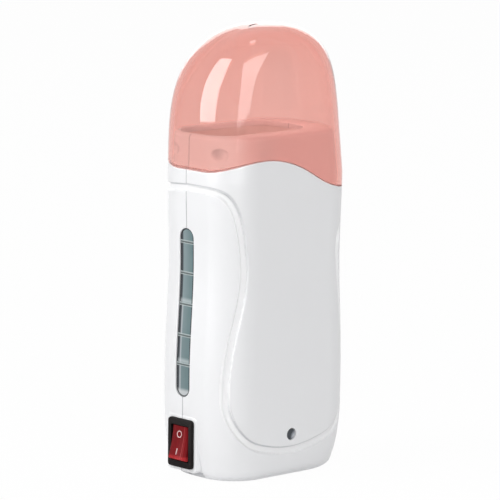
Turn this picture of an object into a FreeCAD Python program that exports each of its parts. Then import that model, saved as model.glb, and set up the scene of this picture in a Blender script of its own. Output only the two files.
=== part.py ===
"""Roll-on wax heater: a hand-held cartridge warmer with a lift-off cap.

Frame: +Z up, +X to the right of the front face, -Y is the front. The origin is the centre of the base.
Every length is in millimetres. Driving sizes live in the sheet "Sizes" and everything else follows from them.
"""
import FreeCAD, Part
import math
import os

import Sketcher

os.makedirs("parts", exist_ok=True)
doc = FreeCAD.newDocument("wax_heater")
Vector = FreeCAD.Vector

# ---------------------------------------------------------------- driving sizes
SIZES = {
    # outer form
    "total_height": 192.0,
    "depth_room": 19.2,
    "hip_room": 22.6,
    "waist_room": 19.0,
    "shoulder_room": 20.9,
    "hip_level": 45.0,
    "waist_level": 92.0,
    "shoulder_level": 128.0,
    "foot_taper_side": 3.7,
    "foot_taper_front": 2.9,
    "foot_round": 3.0,
    "front_corner": 16.0,
    "rear_corner": 18.6,
    "crown_corner_growth": 13.0,
    "crown_lean": 5.5,
    "parting": 2.6,
    "wall": 2.0,
    # rim line between the case and the cap, and the neck that the cap slides over
    "rim_left": 132.0,
    "rim_crest": 136.7,
    "rim_right": 121.0,
    "rim_gap": 0.3,
    "neck_top": 146.8,
    "neck_gap": 0.4,
    "neck_wall": 1.4,
    "neck_plate": 2.2,
    "ledge_level": 112.0,
    "dimple_level": 139.5,
    "dimple_radius": 6.0,
    "dimple_depth": 0.6,
    "vent_x": -7.2,
    "vent_y": -6.0,
    "vent_length": 4.4,
    "vent_width": 1.2,
    # moulded groove round the front panel
    "groove_width": 3.4,
    "groove_depth": 0.9,
    "groove_left_level": 125.5,
    "groove_right_level": 115.0,
    # cartridge well
    "well_width": 52.0,
    "well_depth": 32.0,
    "well_corner": 11.5,
    "well_shift": -4.8,
    "well_floor": 31.5,
    "floor_thickness": 1.5,
    "chamber_wall": 1.0,
    "heater_wall": 3.0,
    # level window
    "window_length": 72.0,
    "window_width": 8.8,
    "window_level": 71.0,
    "window_recess": 0.5,
    "window_rim": 2.0,
    "window_flange": 0.9,
    # rocker switch
    "switch_level": 15.2,
    "bezel_height": 21.0,
    "bezel_width": 15.0,
    "bezel_corner": 1.5,
    "bezel_thickness": 1.4,
    "switch_height": 19.0,
    "switch_width": 13.0,
    "switch_body_depth": 13.0,
    "switch_floor": 1.2,
    "rocker_half": 7.0,
    "rocker_rise": 2.6,
    "rocker_dip": 0.5,
    "rocker_width": 10.4,
    "rocker_gap": 0.3,
    "rocker_angle": 12.0,
    "pivot_radius": 0.9,
    "stem_width": 4.4,
    "stem_length": 6.0,
    "plunger_radius": 1.1,
    "arm_length": 13.0,
    "arm_width": 4.0,
    "arm_thickness": 0.6,
    "arm_angle": 6.0,
    "boss_margin": 1.6,
    "tab_width": 4.8,
    "tab_length": 7.0,
    "tab_thickness": 0.8,
    "tab_pitch": 6.0,
    # indicator
    "lamp_level": 18.5,
    "lens_radius": 2.5,
    "lens_recess": 0.8,
    "lamp_radius": 1.5,
    "lamp_length": 5.0,
    "board_width": 16.0,
    "board_height": 13.0,
    "board_shift": 5.0,
    "board_thickness": 1.6,
    "lamp_room": 10.2,
    "peg_radius": 0.8,
    # heater
    "heater_length": 35.0,
    "heater_width": 20.0,
    "heater_thickness": 5.0,
    "heater_level": 64.0,
    "mica_thickness": 0.5,
    "clamp_thickness": 1.0,
    "clamp_width": 12.0,
    "clamp_foot": 8.0,
    "fuse_radius": 2.0,
    "fuse_length": 11.0,
    "fuse_level": 102.0,
    "clip_thickness": 0.6,
    "clip_foot": 6.5,
    # power inlet
    "inlet_offset": 12.0,
    "inlet_level": 13.5,
    "socket_width": 15.6,
    "socket_height": 9.0,
    "socket_depth": 11.0,
    "inlet_body_depth": 16.0,
    "inlet_wall": 1.5,
    "pin_radius": 1.2,
    "pin_spacing": 8.6,
    "pin_tail": 4.0,
    # fasteners and wire
    "screw_radius": 1.5,
    "screw_length": 14.0,
    "screw_head_radius": 2.8,
    "screw_head_height": 2.0,
    "screw_boss_radius": 4.2,
    "screw_seat": 10.0,
    "right_boss_offset": 28.8,
    "left_boss_offset": 8.0,
    "left_boss_level": 24.5,
    "low_boss_level": 12.0,
    "high_boss_level": 114.0,
    "rib_thickness": 2.0,
    "rib_height": 4.0,
    "wire_radius": 1.0,
    "wire_bend": 4.0,
    "fit": 0.1,
}

# The case is built round the cartridge well, and the indicator board hangs behind the front panel.
FOLLOWING = {
    "body_depth": "well_depth + depth_room",
    "hip_width": "well_width + hip_room",
    "waist_width": "well_width + waist_room",
    "shoulder_width": "well_width + shoulder_room",
    "board_back": "body_depth / 2 - lamp_room",
}

sheet = doc.addObject("Spreadsheet::Sheet", "Sizes")
for row, (alias, value) in enumerate(SIZES.items(), start=1):
    sheet.set(f"A{row}", alias)
    sheet.set(f"B{row}", str(value))
    sheet.setAlias(f"B{row}", alias)
doc.recompute()
for row, (alias, formula) in enumerate(FOLLOWING.items(), start=len(SIZES) + 1):
    sheet.set(f"A{row}", alias)
    sheet.set(f"B{row}", f"={formula}")
    sheet.setAlias(f"B{row}", alias)
    doc.recompute()


# ---------------------------------------------------------------- helpers
def bound(expression):
    """The expression with each alias written as a reference to the sheet."""
    text = ""
    word = ""
    for letter in str(expression) + " ":
        if letter.isalnum() or letter in "_.":
            word += letter
            continue
        text += "Sizes." + word if word in SIZES or word in FOLLOWING else word
        text += letter
        word = ""
    return text.strip()


def number(expression):
    """Present value of an expression."""
    return float(sheet.evalExpression(bound(expression)))


def labelled(kind, name):
    """New document object whose name and label are the same."""
    item = doc.addObject(kind, name)
    item.Label = name
    return item


def place(item, x, y, z):
    """Bind an object's position."""
    for axis, expression in zip("xyz", (x, y, z)):
        item.setExpression(f"Placement.Base.{axis}", bound(expression))


def box(name, low, high):
    """Box between two corners."""
    item = labelled("Part::Box", name)
    for side, start, end in zip(("Length", "Width", "Height"), low, high):
        item.setExpression(side, bound(f"({end}) - ({start})"))
    place(item, *low)
    return item


TURNS = {
    "+Z": FreeCAD.Rotation(),
    "-Y": FreeCAD.Rotation(Vector(1, 0, 0), 90),
    "+Y": FreeCAD.Rotation(Vector(1, 0, 0), -90),
    "+X": FreeCAD.Rotation(Vector(0, 1, 0), 90),
    "-X": FreeCAD.Rotation(Vector(0, 1, 0), -90),
}


def rod(name, start, direction, radius, length):
    """Cylinder that starts at a point and runs along an axis."""
    item = labelled("Part::Cylinder", name)
    item.Placement = FreeCAD.Placement(Vector(), TURNS[direction])
    item.setExpression("Radius", bound(radius))
    item.setExpression("Height", bound(length))
    place(item, *start)
    return item


def fused(name, items):
    """Union."""
    item = labelled("Part::MultiFuse", name)
    item.Shapes = items
    return item


def shared(name, items):
    """Intersection."""
    item = labelled("Part::MultiCommon", name)
    item.Shapes = items
    return item


def cut(name, base, tool):
    """Difference."""
    item = labelled("Part::Cut", name)
    item.Base = base
    item.Tool = tool
    return item


def sketch_on(body, name, role, offset):
    """Sketch on one of a body's origin planes, moved along that plane's normal."""
    sketch = body.newObject("Sketcher::SketchObject", name)
    plane = next(item for item in body.Origin.OriginFeatures if item.Role == role)
    sketch.AttachmentSupport = [(plane, "")]
    sketch.MapMode = "FlatFace"
    sketch.setExpression("AttachmentOffset.Base.z", bound(offset))
    return sketch


def constrain(sketch, kind, where, expression):
    """Add a dimension and bind it."""
    index = sketch.addConstraint(Sketcher.Constraint(kind, *where, number(expression)))
    name = f"size{index}"
    sketch.renameConstraint(index, name)
    sketch.setExpression(f"Constraints.{name}", bound(expression))


def draw_polygon(sketch, points):
    """Closed outline through corner points."""
    corners = [Vector(number(u), number(v), 0) for u, v in points]
    count = len(corners)
    lines = [
        sketch.addGeometry(Part.LineSegment(corner, corners[(index + 1) % count]))
        for index, corner in enumerate(corners)
    ]
    for index, line in enumerate(lines):
        sketch.addConstraint(Sketcher.Constraint("Coincident", line, 2, lines[(index + 1) % count], 1))
    for line, (u, v) in zip(lines, points):
        constrain(sketch, "DistanceX", (-1, 1, line, 1), u)
        constrain(sketch, "DistanceY", (-1, 1, line, 1), v)


def draw_circle(sketch, u, v, radius):
    """Circle."""
    centre = Vector(number(u), number(v), 0)
    index = sketch.addGeometry(Part.Circle(centre, Vector(0, 0, 1), number(radius)))
    constrain(sketch, "DistanceX", (-1, 1, index, 3), u)
    constrain(sketch, "DistanceY", (-1, 1, index, 3), v)
    constrain(sketch, "Radius", (index,), radius)


def draw_rounded(sketch, left, right, low, high, low_corner, high_corner):
    """Rectangle whose two low corners and two high corners have their own radii."""
    x0, x1, y0, y1 = number(left), number(right), number(low), number(high)
    a, b = number(low_corner), number(high_corner)
    corners = (
        (Vector(x1 - a, y0 + a, 0), a, -90),
        (Vector(x1 - b, y1 - b, 0), b, 0),
        (Vector(x0 + b, y1 - b, 0), b, 90),
        (Vector(x0 + a, y0 + a, 0), a, 180),
    )
    arcs = []
    for centre, radius, turn in corners:
        circle = Part.Circle(centre, Vector(0, 0, 1), radius)
        arcs.append(Part.ArcOfCircle(circle, math.radians(turn), math.radians(turn + 90)))
    for index, arc in enumerate(arcs):
        sketch.addGeometry(Part.LineSegment(arcs[index - 1].EndPoint, arc.StartPoint))
        sketch.addGeometry(arc)
    for side in range(4):
        line = 2 * side
        sketch.addConstraint(Sketcher.Constraint("Tangent", line, 2, line + 1, 1))
        sketch.addConstraint(Sketcher.Constraint("Tangent", line + 1, 2, (line + 2) % 8, 1))
        sketch.addConstraint(Sketcher.Constraint("Vertical" if side % 2 else "Horizontal", line))
    sketch.addConstraint(Sketcher.Constraint("Equal", 1, 7))
    sketch.addConstraint(Sketcher.Constraint("Equal", 3, 5))
    constrain(sketch, "Radius", (1,), low_corner)
    constrain(sketch, "Radius", (3,), high_corner)
    constrain(sketch, "DistanceX", (-1, 1, 2, 1), right)
    constrain(sketch, "DistanceX", (-1, 1, 6, 1), left)
    constrain(sketch, "DistanceY", (-1, 1, 0, 1), low)
    constrain(sketch, "DistanceY", (-1, 1, 4, 1), high)


def new_body(name):
    """Empty PartDesign body."""
    return labelled("PartDesign::Body", name)


def pad(body, sketch, length, both=False):
    """Pad along the sketch's normal, or both ways."""
    feature = body.newObject("PartDesign::Pad", f"{sketch.Name}_pad")
    feature.Profile = sketch
    feature.Midplane = both
    feature.setExpression("Length", bound(length))
    return feature


def pocket(body, sketch, length, along_normal=False):
    """Pocket against the sketch's normal, or along it."""
    feature = body.newObject("PartDesign::Pocket", f"{sketch.Name}_pocket")
    feature.Profile = sketch
    feature.Reversed = along_normal
    feature.setExpression("Length", bound(length))
    return feature


def rounded_bar(name, role, offset, length, outline):
    """Body made of one pad of a rounded rectangle."""
    body = new_body(name)
    sketch = sketch_on(body, f"{name}_outline", role, offset)
    draw_rounded(sketch, *outline)
    pad(body, sketch, length)
    return body


def turned(name, centre, profile, direction):
    """Body of revolution: profile points are (along the axis, radius)."""
    body = new_body(name)
    sketch = sketch_on(body, f"{name}_profile", "XY_Plane", "0")
    draw_polygon(sketch, profile)
    feature = body.newObject("PartDesign::Revolution", f"{name}_turn")
    feature.Profile = sketch
    feature.ReferenceAxis = (sketch, ["H_Axis"])
    feature.Angle = 360
    body.Placement = FreeCAD.Placement(Vector(), FreeCAD.Rotation(Vector(1, 0, 0), Vector(*direction)))
    place(body, *centre)
    return body


# ---------------------------------------------------------------- outer form
# Each level of the form is a rounded rectangle: a tapered foot, hips, a waist, shoulders and a domed crown.
FOOT_ROUNDING = (0, 30, 60, 90)
FOOT_STEPS = (0.22, 0.5, 1)
CROWN_STEPS = (0.3, 0.5, 0.65, 0.78, 0.88, 0.95, 0.985, 0.997)
TAPER_POWER = 4
CROWN_SIDE_POWERS = (3.85, 2.24)
CROWN_FRONT_POWERS = (4.45, 2.95)
CORNER_SHARE = 0.86


def form_levels():
    """(level, half width, half depth, rise) of each section, as expressions."""
    levels = []
    for turn in FOOT_ROUNDING:
        up = f"foot_round * {1 - math.cos(math.radians(turn)):.4f}"
        tuck = f"foot_round * {1 - math.sin(math.radians(turn)):.4f}"
        lack = f"(1 - {up}/hip_level)^{TAPER_POWER}"
        levels.append((
            up,
            f"hip_width/2 - {tuck} - foot_taper_side * {lack}",
            f"body_depth/2 - {tuck} - foot_taper_front * {lack}",
            0,
        ))
    for step in FOOT_STEPS:
        lack = f"(1 - {step})^{TAPER_POWER}"
        levels.append((
            f"hip_level * {step}",
            f"hip_width/2 - foot_taper_side * {lack}",
            f"body_depth/2 - foot_taper_front * {lack}",
            0,
        ))
    levels.append(("(hip_level + waist_level)/2", "(hip_width + waist_width)/4", "body_depth/2", 0))
    levels.append(("waist_level", "waist_width/2", "body_depth/2", 0))
    levels.append(("(waist_level + shoulder_level)/2", "(waist_width + shoulder_width)/4", "body_depth/2", 0))
    levels.append(("shoulder_level", "shoulder_width/2", "body_depth/2", 0))
    for rise in CROWN_STEPS:
        reach = 1 if rise == CROWN_STEPS[-1] else rise
        side = f"(1 - {rise}^{CROWN_SIDE_POWERS[0]})^(1/{CROWN_SIDE_POWERS[1]})"
        front = f"(1 - {rise}^{CROWN_FRONT_POWERS[0]})^(1/{CROWN_FRONT_POWERS[1]})"
        levels.append((
            f"shoulder_level + (total_height - shoulder_level) * {reach}",
            f"shoulder_width/2 * {side}",
            f"body_depth/2 * {front}",
            rise,
        ))
    return levels


def form(name, inset, first=0, last=None):
    """The outer form, or the same form a wall thickness further in, lofted through its sections."""
    body = new_body(name)
    sketches = []
    for index, (level, half, depth, rise) in enumerate(form_levels()[first:last]):
        lift = inset if index + first < len(FOOT_ROUNDING) else "0"
        level_here = f"{level} + {lift} - ({inset}) * {rise}"
        side = f"{half} - ({inset})"
        deep = f"{depth} - ({inset})"
        lean = f"crown_lean * {rise}^3"
        largest = f"{CORNER_SHARE} * min({side}; {deep})"
        front = f"min(max(front_corner + crown_corner_growth * {rise} - ({inset}); 1); {largest})"
        rear = f"min(max(rear_corner - ({inset}); 1); {largest})"
        sketch = sketch_on(body, f"{name}_{index}", "XY_Plane", level_here)
        draw_rounded(sketch, f"-({side})", side, f"-({deep}) - {lean}", f"{deep} - {lean}", front, rear)
        sketches.append(sketch)
    loft = body.newObject("PartDesign::AdditiveLoft", f"{name}_loft")
    loft.Profile = sketches[0]
    loft.Sections = sketches[1:]
    loft.Ruled = False
    return body


def slab(name, low, high):
    """Everything between two levels."""
    return box(name, ("-body_depth", "-body_depth", low), ("body_depth", "body_depth", high))


NECK_INSET = "(wall + neck_gap)"
BORE_INSET = "(wall + neck_gap + neck_wall)"
outer_form = form("outer_form", "0")
cavity_form = form("cavity_form", "wall")
neck_form = form("neck_form", NECK_INSET, 8, 13)
bore_form = form("bore_form", BORE_INSET, 8, 13)
window_face_form = form("window_face_form", "window_recess", 0, 13)
window_back_form = form("window_back_form", "(wall + window_flange)", 0, 13)
groove_floor_form = form("groove_floor_form", "groove_depth", 0, 13)


# ---------------------------------------------------------------- rim line and panel groove
def extruded(name, face, start, end):
    """Solid that carries an XZ face along Y."""
    item = labelled("Part::Feature", name)
    face.translate(Vector(0, start, 0))
    item.Shape = face.extrude(Vector(0, end - start, 0))
    return item


def spline(points):
    """Smooth curve through XZ points."""
    curve = Part.BSplineCurve()
    curve.interpolate([Vector(x, 0, z) for x, z in points])
    return curve


def below_rim(name, lift):
    """Everything below the rim line: high on the left, a crest left of the middle, low on the right."""
    reach = number("body_depth")
    crest = number("rim_crest") + lift
    left = number("rim_left") + lift
    right = number("rim_right") + lift
    side = number("shoulder_width/2")
    curve = spline((
        (-reach, left - 10),
        (-side, left),
        (-side * 0.72, crest - 0.9),
        (-side * 0.37, crest),
        (side * 0.16, crest - 5.4 * (crest - right) / 15.7),
        (side * 0.55, crest - 12.7 * (crest - right) / 15.7),
        (side, right),
        (reach, right - 1),
    )).toShape()
    corners = ((reach, right - 1), (reach, -reach), (-reach, -reach), (-reach, left - 10))
    sides = Part.makePolygon([Vector(x, 0, z) for x, z in corners])
    face = Part.Face(Part.Wire([curve] + sides.Edges))
    return extruded(name, face, -reach, reach)


def front_groove(name):
    """Band that runs round the front panel: in from the left side, down, round the foot and up again."""
    half = number("groove_width/2")
    side = number("shoulder_width/2")
    left = number("groove_left_level")
    right = number("groove_right_level")
    waist = number("waist_width/2") - 8.5
    hip = number("hip_width/2") - 3.4
    bottom = number("lamp_level") - 7.2
    down = (
        (-side - 4, left),
        (-side + 1.4, left - 2.0),
        (-side + 5.1, left - 7.5),
        (-waist - 1.2, left - 20),
        (-waist, 87),
        (-waist - 3.4, 67),
        (-hip + 0.9, 50),
        (-hip + 0.4, 40.5),
        (-hip + 1.2, 30),
        (-hip + 4.7, 22.5),
        (-hip + 10, bottom + 6),
        (-14.5, bottom + 2.3),
        (0, bottom + 0.3),
    )
    drop = left - right
    lift = [(-x, z - drop if z > 100 else z) for x, z in down[:3]]
    up = [(-x, z) for x, z in down[4:-1]]
    centre = spline(list(down) + up[::-1] + [(waist + 1.2, left - 22)] + lift[::-1])
    steps = 90
    begin = centre.FirstParameter
    span = centre.LastParameter - begin
    marks = [begin + span * k / steps for k in range(steps + 1)]
    edges = []
    for turn in (half, -half):
        points = []
        for mark in marks:
            here = centre.value(mark)
            ahead = centre.tangent(mark)[0]
            points.append((here.x - ahead.z * turn, here.z + ahead.x * turn))
        edges.append(spline(points).toShape())
    first, second = edges
    ends = [
        Part.makeLine(first.Vertexes[0].Point, second.Vertexes[0].Point),
        Part.makeLine(first.Vertexes[-1].Point, second.Vertexes[-1].Point),
    ]
    face = Part.Face(Part.Wire(Part.__sortEdges__(edges + ends)))
    return extruded(name, face, -number("body_depth"), number("parting"))


def rear_groove(name):
    """Straight band across the rear shell that joins the ends of the front one."""
    half = number("groove_width/2")
    reach = number("shoulder_width/2") + 4
    left = number("groove_left_level")
    right = number("groove_right_level")
    corners = [(-reach, left - half), (reach, right - half), (reach, right + half), (-reach, left + half)]
    outline = [Vector(x, 0, z) for x, z in corners]
    face = Part.Face(Part.makePolygon(outline + outline[:1]))
    return extruded(name, face, number("parting"), number("body_depth"))


case_side = below_rim("case_side", 0)
cap_limit = below_rim("cap_limit", number("rim_gap"))
front_band = cut("front_band", front_groove("front_groove"), groove_floor_form)
rear_band = cut("rear_band", rear_groove("rear_groove"), groove_floor_form)

# ---------------------------------------------------------------- shared places
WELL_X = "well_shift"
WELL_Y = "parting"
PAD_X = "-hip_width/2"
INLET_Y = "body_depth/2"
CHAMBER_RIGHT = f"{WELL_X} + well_width/2 + heater_wall"
CHAMBER_TOP = "neck_top - neck_plate - fit"


def well_outline(grow_left, grow_right, grow):
    """Rounded rectangle of the cartridge well, with walls added."""
    corner = f"well_corner + {grow}"
    return (
        f"{WELL_X} - well_width/2 - {grow_left}",
        f"{WELL_X} + well_width/2 + {grow_right}",
        f"{WELL_Y} - well_depth/2 - {grow}",
        f"{WELL_Y} + well_depth/2 + {grow}",
        corner,
        corner,
    )


def side_outline(centre_level, length, width, corner):
    """Rounded rectangle on the left side, centred on the parting plane."""
    return (
        f"parting - ({width})/2",
        f"parting + ({width})/2",
        f"{centre_level} - ({length})/2",
        f"{centre_level} + ({length})/2",
        corner,
        corner,
    )


# ---------------------------------------------------------------- case shells
case_skin = shared("case_skin", [outer_form, case_side])
neck_skin = shared("neck_skin", [neck_form, slab("neck_span", "waist_level + 2", "neck_top")])
case_hollow = shared("case_hollow", [cavity_form, slab("hollow_span", "0", "ledge_level")])
bore_span = slab("bore_span", "ledge_level - 1", "neck_top - neck_plate")
neck_hollow = shared("neck_hollow", [bore_form, bore_span])
mouth_outline = well_outline("0", "0", "0")
mouth = rounded_bar("mouth", "XY_Plane", "neck_top - 2*neck_plate", "3*neck_plate", mouth_outline)
switch_boss = rounded_bar(
    "switch_boss", "YZ_Plane", PAD_X, "6",
    side_outline("switch_level", "bezel_height + 2*boss_margin", "bezel_width + 2*boss_margin", "2"),
)


def round_socket(name, margin, start, end):
    """Box round the mains socket, wider than the socket by a margin on every side."""
    return box(
        name,
        (f"inlet_offset - socket_width/2 - {margin}", start, f"inlet_level - socket_height/2 - {margin}"),
        (f"inlet_offset + socket_width/2 + {margin}", end, f"inlet_level + socket_height/2 + {margin}"),
    )


inlet_boss = round_socket("inlet_boss", "3*inlet_wall", f"{INLET_Y} - 5", INLET_Y)
case_mass = fused("case_mass", [case_skin, neck_skin, switch_boss, inlet_boss])
boss_hollow = box(
    "boss_hollow",
    (f"{PAD_X} + wall", "parting - bezel_width/2", "switch_level - bezel_height/2"),
    (f"{PAD_X} + 8", "parting + bezel_width/2", "switch_level + bezel_height/2"),
)
inlet_hollow = round_socket("inlet_hollow", "2*inlet_wall", f"{INLET_Y} - 8", f"{INLET_Y} - wall")
case_void = fused("case_void", [case_hollow, neck_hollow, mouth, boss_hollow, inlet_hollow])
case_body = cut("case_body", case_mass, case_void)

window_slot = rounded_bar(
    "window_slot", "YZ_Plane", "-body_depth", "body_depth - waist_width/2 + wall + 4",
    side_outline("window_level", "window_length", "window_width", "window_width * 0.48"),
)
switch_cutout = box(
    "switch_cutout",
    (f"{PAD_X} - 5", "parting - switch_width/2", "switch_level - switch_height/2"),
    (f"{PAD_X} + 12", "parting + switch_width/2", "switch_level + switch_height/2"),
)
DIMPLE_TURN = math.radians(20)  # from the side of the neck towards its front or back
dimples = []
for side, side_name in ((-1, "left"), (1, "right")):
    for depth, corner, depth_name in ((-1, "front_corner", "front"), (1, "rear_corner", "rear")):
        dimple = labelled("Part::Sphere", f"{side_name}_{depth_name}_dimple")
        dimple.setExpression("Radius", bound("dimple_radius"))
        out = f"({corner} - {NECK_INSET} + dimple_radius - dimple_depth)"
        place(
            dimple,
            f"{side} * (shoulder_width/2 - {corner} + {out} * {math.cos(DIMPLE_TURN):.4f})",
            f"{depth} * (body_depth/2 - {corner} + {out} * {math.sin(DIMPLE_TURN):.4f})",
            "dimple_level",
        )
        dimples.append(dimple)
common_cuts = [window_slot, switch_cutout] + dimples

SCREW_PLACES = (
    ("upper_right", "right_boss_offset", "high_boss_level"),
    ("lower_right", "right_boss_offset", "low_boss_level"),
    ("lower_left", "-left_boss_offset", "left_boss_level"),
)
front_adds = []
rear_adds = []
front_cuts = [front_band]
rear_cuts = [rear_band]
SINK_RADIUS = "screw_head_radius + 2*fit"
for name, x, z in SCREW_PLACES:
    front_adds.append(rod(f"{name}_front_boss", (x, "parting", z), "-Y", "screw_boss_radius", "body_depth"))
    rear_adds.append(rod(f"{name}_rear_boss", (x, "parting", z), "+Y", "screw_boss_radius", "body_depth"))
    pilot = "screw_length + parting - screw_seat + 1"
    front_cuts.append(rod(f"{name}_pilot", (x, "parting + 1", z), "-Y", "screw_radius + fit/2", pilot))
    rear_cuts.append(rod(f"{name}_hole", (x, "parting - 1", z), "+Y", "screw_radius + 2*fit", "body_depth"))
    rear_cuts.append(rod(f"{name}_sink", (x, "screw_seat", z), "+Y", SINK_RADIUS, "body_depth"))

# Ribs of both shells carry the floor of the cartridge chamber.
CHAMBER_FLOOR = "well_floor - floor_thickness"
RIB_TOP = f"{CHAMBER_FLOOR} - fit"
RIB_INNER = "6"
for index, x in enumerate(("-3", "16")):
    low = f"{RIB_TOP} - rib_height"
    front_adds.append(box(
        f"front_rib_{index}",
        (f"{x} - rib_thickness/2", "-(body_depth/2 - wall/2)", low),
        (f"{x} + rib_thickness/2", f"-{RIB_INNER}", RIB_TOP),
    ))
    rear_adds.append(box(
        f"rear_rib_{index}",
        (f"{x} - rib_thickness/2", RIB_INNER, low),
        (f"{x} + rib_thickness/2", "body_depth/2 - wall/2", RIB_TOP),
    ))

# Two pegs of the front shell hold the indicator board.
BOARD_FRONT = "-(board_back + board_thickness)"
BOARD_LEFT = "board_shift - board_width/2"
BOARD_RIGHT = "board_shift + board_width/2"
BOARD_LOW = "lamp_level - board_height/2"
BOARD_HIGH = "lamp_level + board_height/2"
PEG_PLACES = ((f"{BOARD_LEFT} + 1.6", f"{BOARD_LOW} + 1.6"), (f"{BOARD_RIGHT} - 2", f"{BOARD_HIGH} - 2"))
PEG_START = "-(board_back - 1)"
for index, (x, z) in enumerate(PEG_PLACES):
    front_adds.append(rod(f"board_post_{index}", (x, BOARD_FRONT, z), "-Y", "peg_radius + 1", "body_depth"))
    front_adds.append(rod(f"board_peg_{index}", (x, PEG_START, z), "-Y", "peg_radius", "board_thickness + 2"))

LENS_FRONT = "-(body_depth/2 - lens_recess)"
front_cuts.append(rod("lamp_hole", ("0", "0", "lamp_level"), "-Y", "lens_radius + fit", "body_depth"))
rear_cuts.append(round_socket("inlet_cutout", "(inlet_wall + fit)", f"{INLET_Y} - 9", f"{INLET_Y} + 1"))


def shell(name, low, high, adds, cuts):
    """One half of the case."""
    half_space = box(f"{name}_half", ("-body_depth", low, "-1"), ("body_depth", high, "total_height"))
    half = shared(f"{name}_blank", [case_body, half_space])
    inner = shared(f"{name}_inner", [fused(f"{name}_adds", adds), groove_floor_form])
    built = fused(f"{name}_built", [half, inner])
    return cut(name, built, fused(f"{name}_cuts", common_cuts + cuts))


front_shell = shell("front_shell", "-body_depth", "parting", front_adds, front_cuts)
rear_shell = shell("rear_shell", "parting", "body_depth", rear_adds, rear_cuts)

# ---------------------------------------------------------------- cap
vent = rounded_bar(
    "vent", "XY_Plane", "total_height - 6", "8",
    (
        "vent_x - vent_length/2", "vent_x + vent_length/2",
        "vent_y - vent_width/2", "vent_y + vent_width/2", "0.3", "0.3",
    ),
)
cap_dome = cut("cap_dome", cut("cap_mass", outer_form, cap_limit), cavity_form)
cap = cut("cap", cap_dome, vent)

# ---------------------------------------------------------------- level window
window_nose = rounded_bar(
    "window_nose", "YZ_Plane", "-body_depth", "body_depth",
    side_outline("window_level", "window_length - 2*fit", "window_width - 2*fit", "window_width * 0.46"),
)
FLANGE_LENGTH = "window_length + 2*window_rim"
FLANGE_WIDTH = "window_width + 2*window_rim"
window_flange_bar = rounded_bar(
    "window_flange_bar", "YZ_Plane", "-body_depth", "body_depth",
    side_outline("window_level", FLANGE_LENGTH, FLANGE_WIDTH, "window_width * 0.5"),
)
window_mass = fused("window_mass", [
    shared("window_front", [window_face_form, window_nose]),
    shared("window_backing", [cavity_form, window_flange_bar]),
])
level_window = cut("level_window", window_mass, window_back_form)

# ---------------------------------------------------------------- cartridge chamber
wax_chamber = new_body("wax_chamber")
chamber_sketch = sketch_on(wax_chamber, "chamber_outline", "XY_Plane", CHAMBER_FLOOR)
draw_rounded(chamber_sketch, *well_outline("chamber_wall", "heater_wall", "chamber_wall"))
pad(wax_chamber, chamber_sketch, f"{CHAMBER_TOP} - ({CHAMBER_FLOOR})")
well_sketch = sketch_on(wax_chamber, "well_outline", "XY_Plane", "well_floor")
draw_rounded(well_sketch, *well_outline("0", "0", "0"))
pocket(wax_chamber, well_sketch, "neck_top - well_floor", along_normal=True)
slot_sketch = sketch_on(wax_chamber, "chamber_slot", "YZ_Plane", f"{WELL_X}")
SLOT_OUTLINE = side_outline("window_level", "window_length - 3", "window_width - 1.4", "window_width * 0.4")
draw_rounded(slot_sketch, *SLOT_OUTLINE)
pocket(wax_chamber, slot_sketch, "well_width")

STRAP_SCREWS = (
    ("lower_clamp", "heater_level - heater_length/2 - 1 - clamp_thickness - clamp_foot/2", "clamp_thickness"),
    ("upper_clamp", "heater_level + heater_length/2 + 1 + clamp_thickness + clamp_foot/2", "clamp_thickness"),
    ("fuse", "fuse_level - fuse_radius - 0.4 - clip_thickness - clip_foot/2", "clip_thickness"),
)
tap_sketch = sketch_on(wax_chamber, "tapped_holes", "YZ_Plane", CHAMBER_RIGHT)
for name, level, thickness in STRAP_SCREWS:
    draw_circle(tap_sketch, WELL_Y, level, "screw_radius + fit/2")
pocket(wax_chamber, tap_sketch, "heater_wall * 0.75")

# ---------------------------------------------------------------- heater, its mica sheet and its clamp
HEATER_X = CHAMBER_RIGHT
ptc_heater = box(
    "ptc_heater",
    (HEATER_X, f"{WELL_Y} - heater_width/2", "heater_level - heater_length/2"),
    (f"{HEATER_X} + heater_thickness", f"{WELL_Y} + heater_width/2", "heater_level + heater_length/2"),
)
MICA_X = f"{HEATER_X} + heater_thickness"
mica_sheet = box(
    "mica_sheet",
    (MICA_X, f"{WELL_Y} - heater_width/2 - 0.5", "heater_level - heater_length/2"),
    (f"{MICA_X} + mica_thickness", f"{WELL_Y} + heater_width/2 + 0.5", "heater_level + heater_length/2"),
)


def strap(name, level, half_inside, height, thickness, feet, width, screws):
    """Hat-shaped metal strap on the chamber wall, with a screw hole in some feet."""
    body = new_body(name)
    sketch = sketch_on(body, f"{name}_profile", "XZ_Plane", f"-({WELL_Y})")
    x0, x1 = HEATER_X, f"{HEATER_X} + {thickness}"
    x2, x3 = f"{HEATER_X} + {height}", f"{HEATER_X} + {height} + {thickness}"
    inside, outside = half_inside, f"{half_inside} + {thickness}"
    low, high = feet
    draw_polygon(sketch, (
        (x0, f"{level} - ({outside}) - {low}"),
        (x1, f"{level} - ({outside}) - {low}"),
        (x1, f"{level} - ({outside})"),
        (x3, f"{level} - ({outside})"),
        (x3, f"{level} + ({outside})"),
        (x1, f"{level} + ({outside})"),
        (x1, f"{level} + ({outside}) + {high}"),
        (x0, f"{level} + ({outside}) + {high}"),
        (x0, f"{level} + ({inside})"),
        (x2, f"{level} + ({inside})"),
        (x2, f"{level} - ({inside})"),
        (x0, f"{level} - ({inside})"),
    ))
    pad(body, sketch, width, both=True)
    holes = sketch_on(body, f"{name}_holes", "YZ_Plane", f"{HEATER_X} + {height}")
    for screw in screws:
        draw_circle(holes, WELL_Y, screw, "screw_radius + 2*fit")
    pocket(body, holes, height)
    return body


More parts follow.
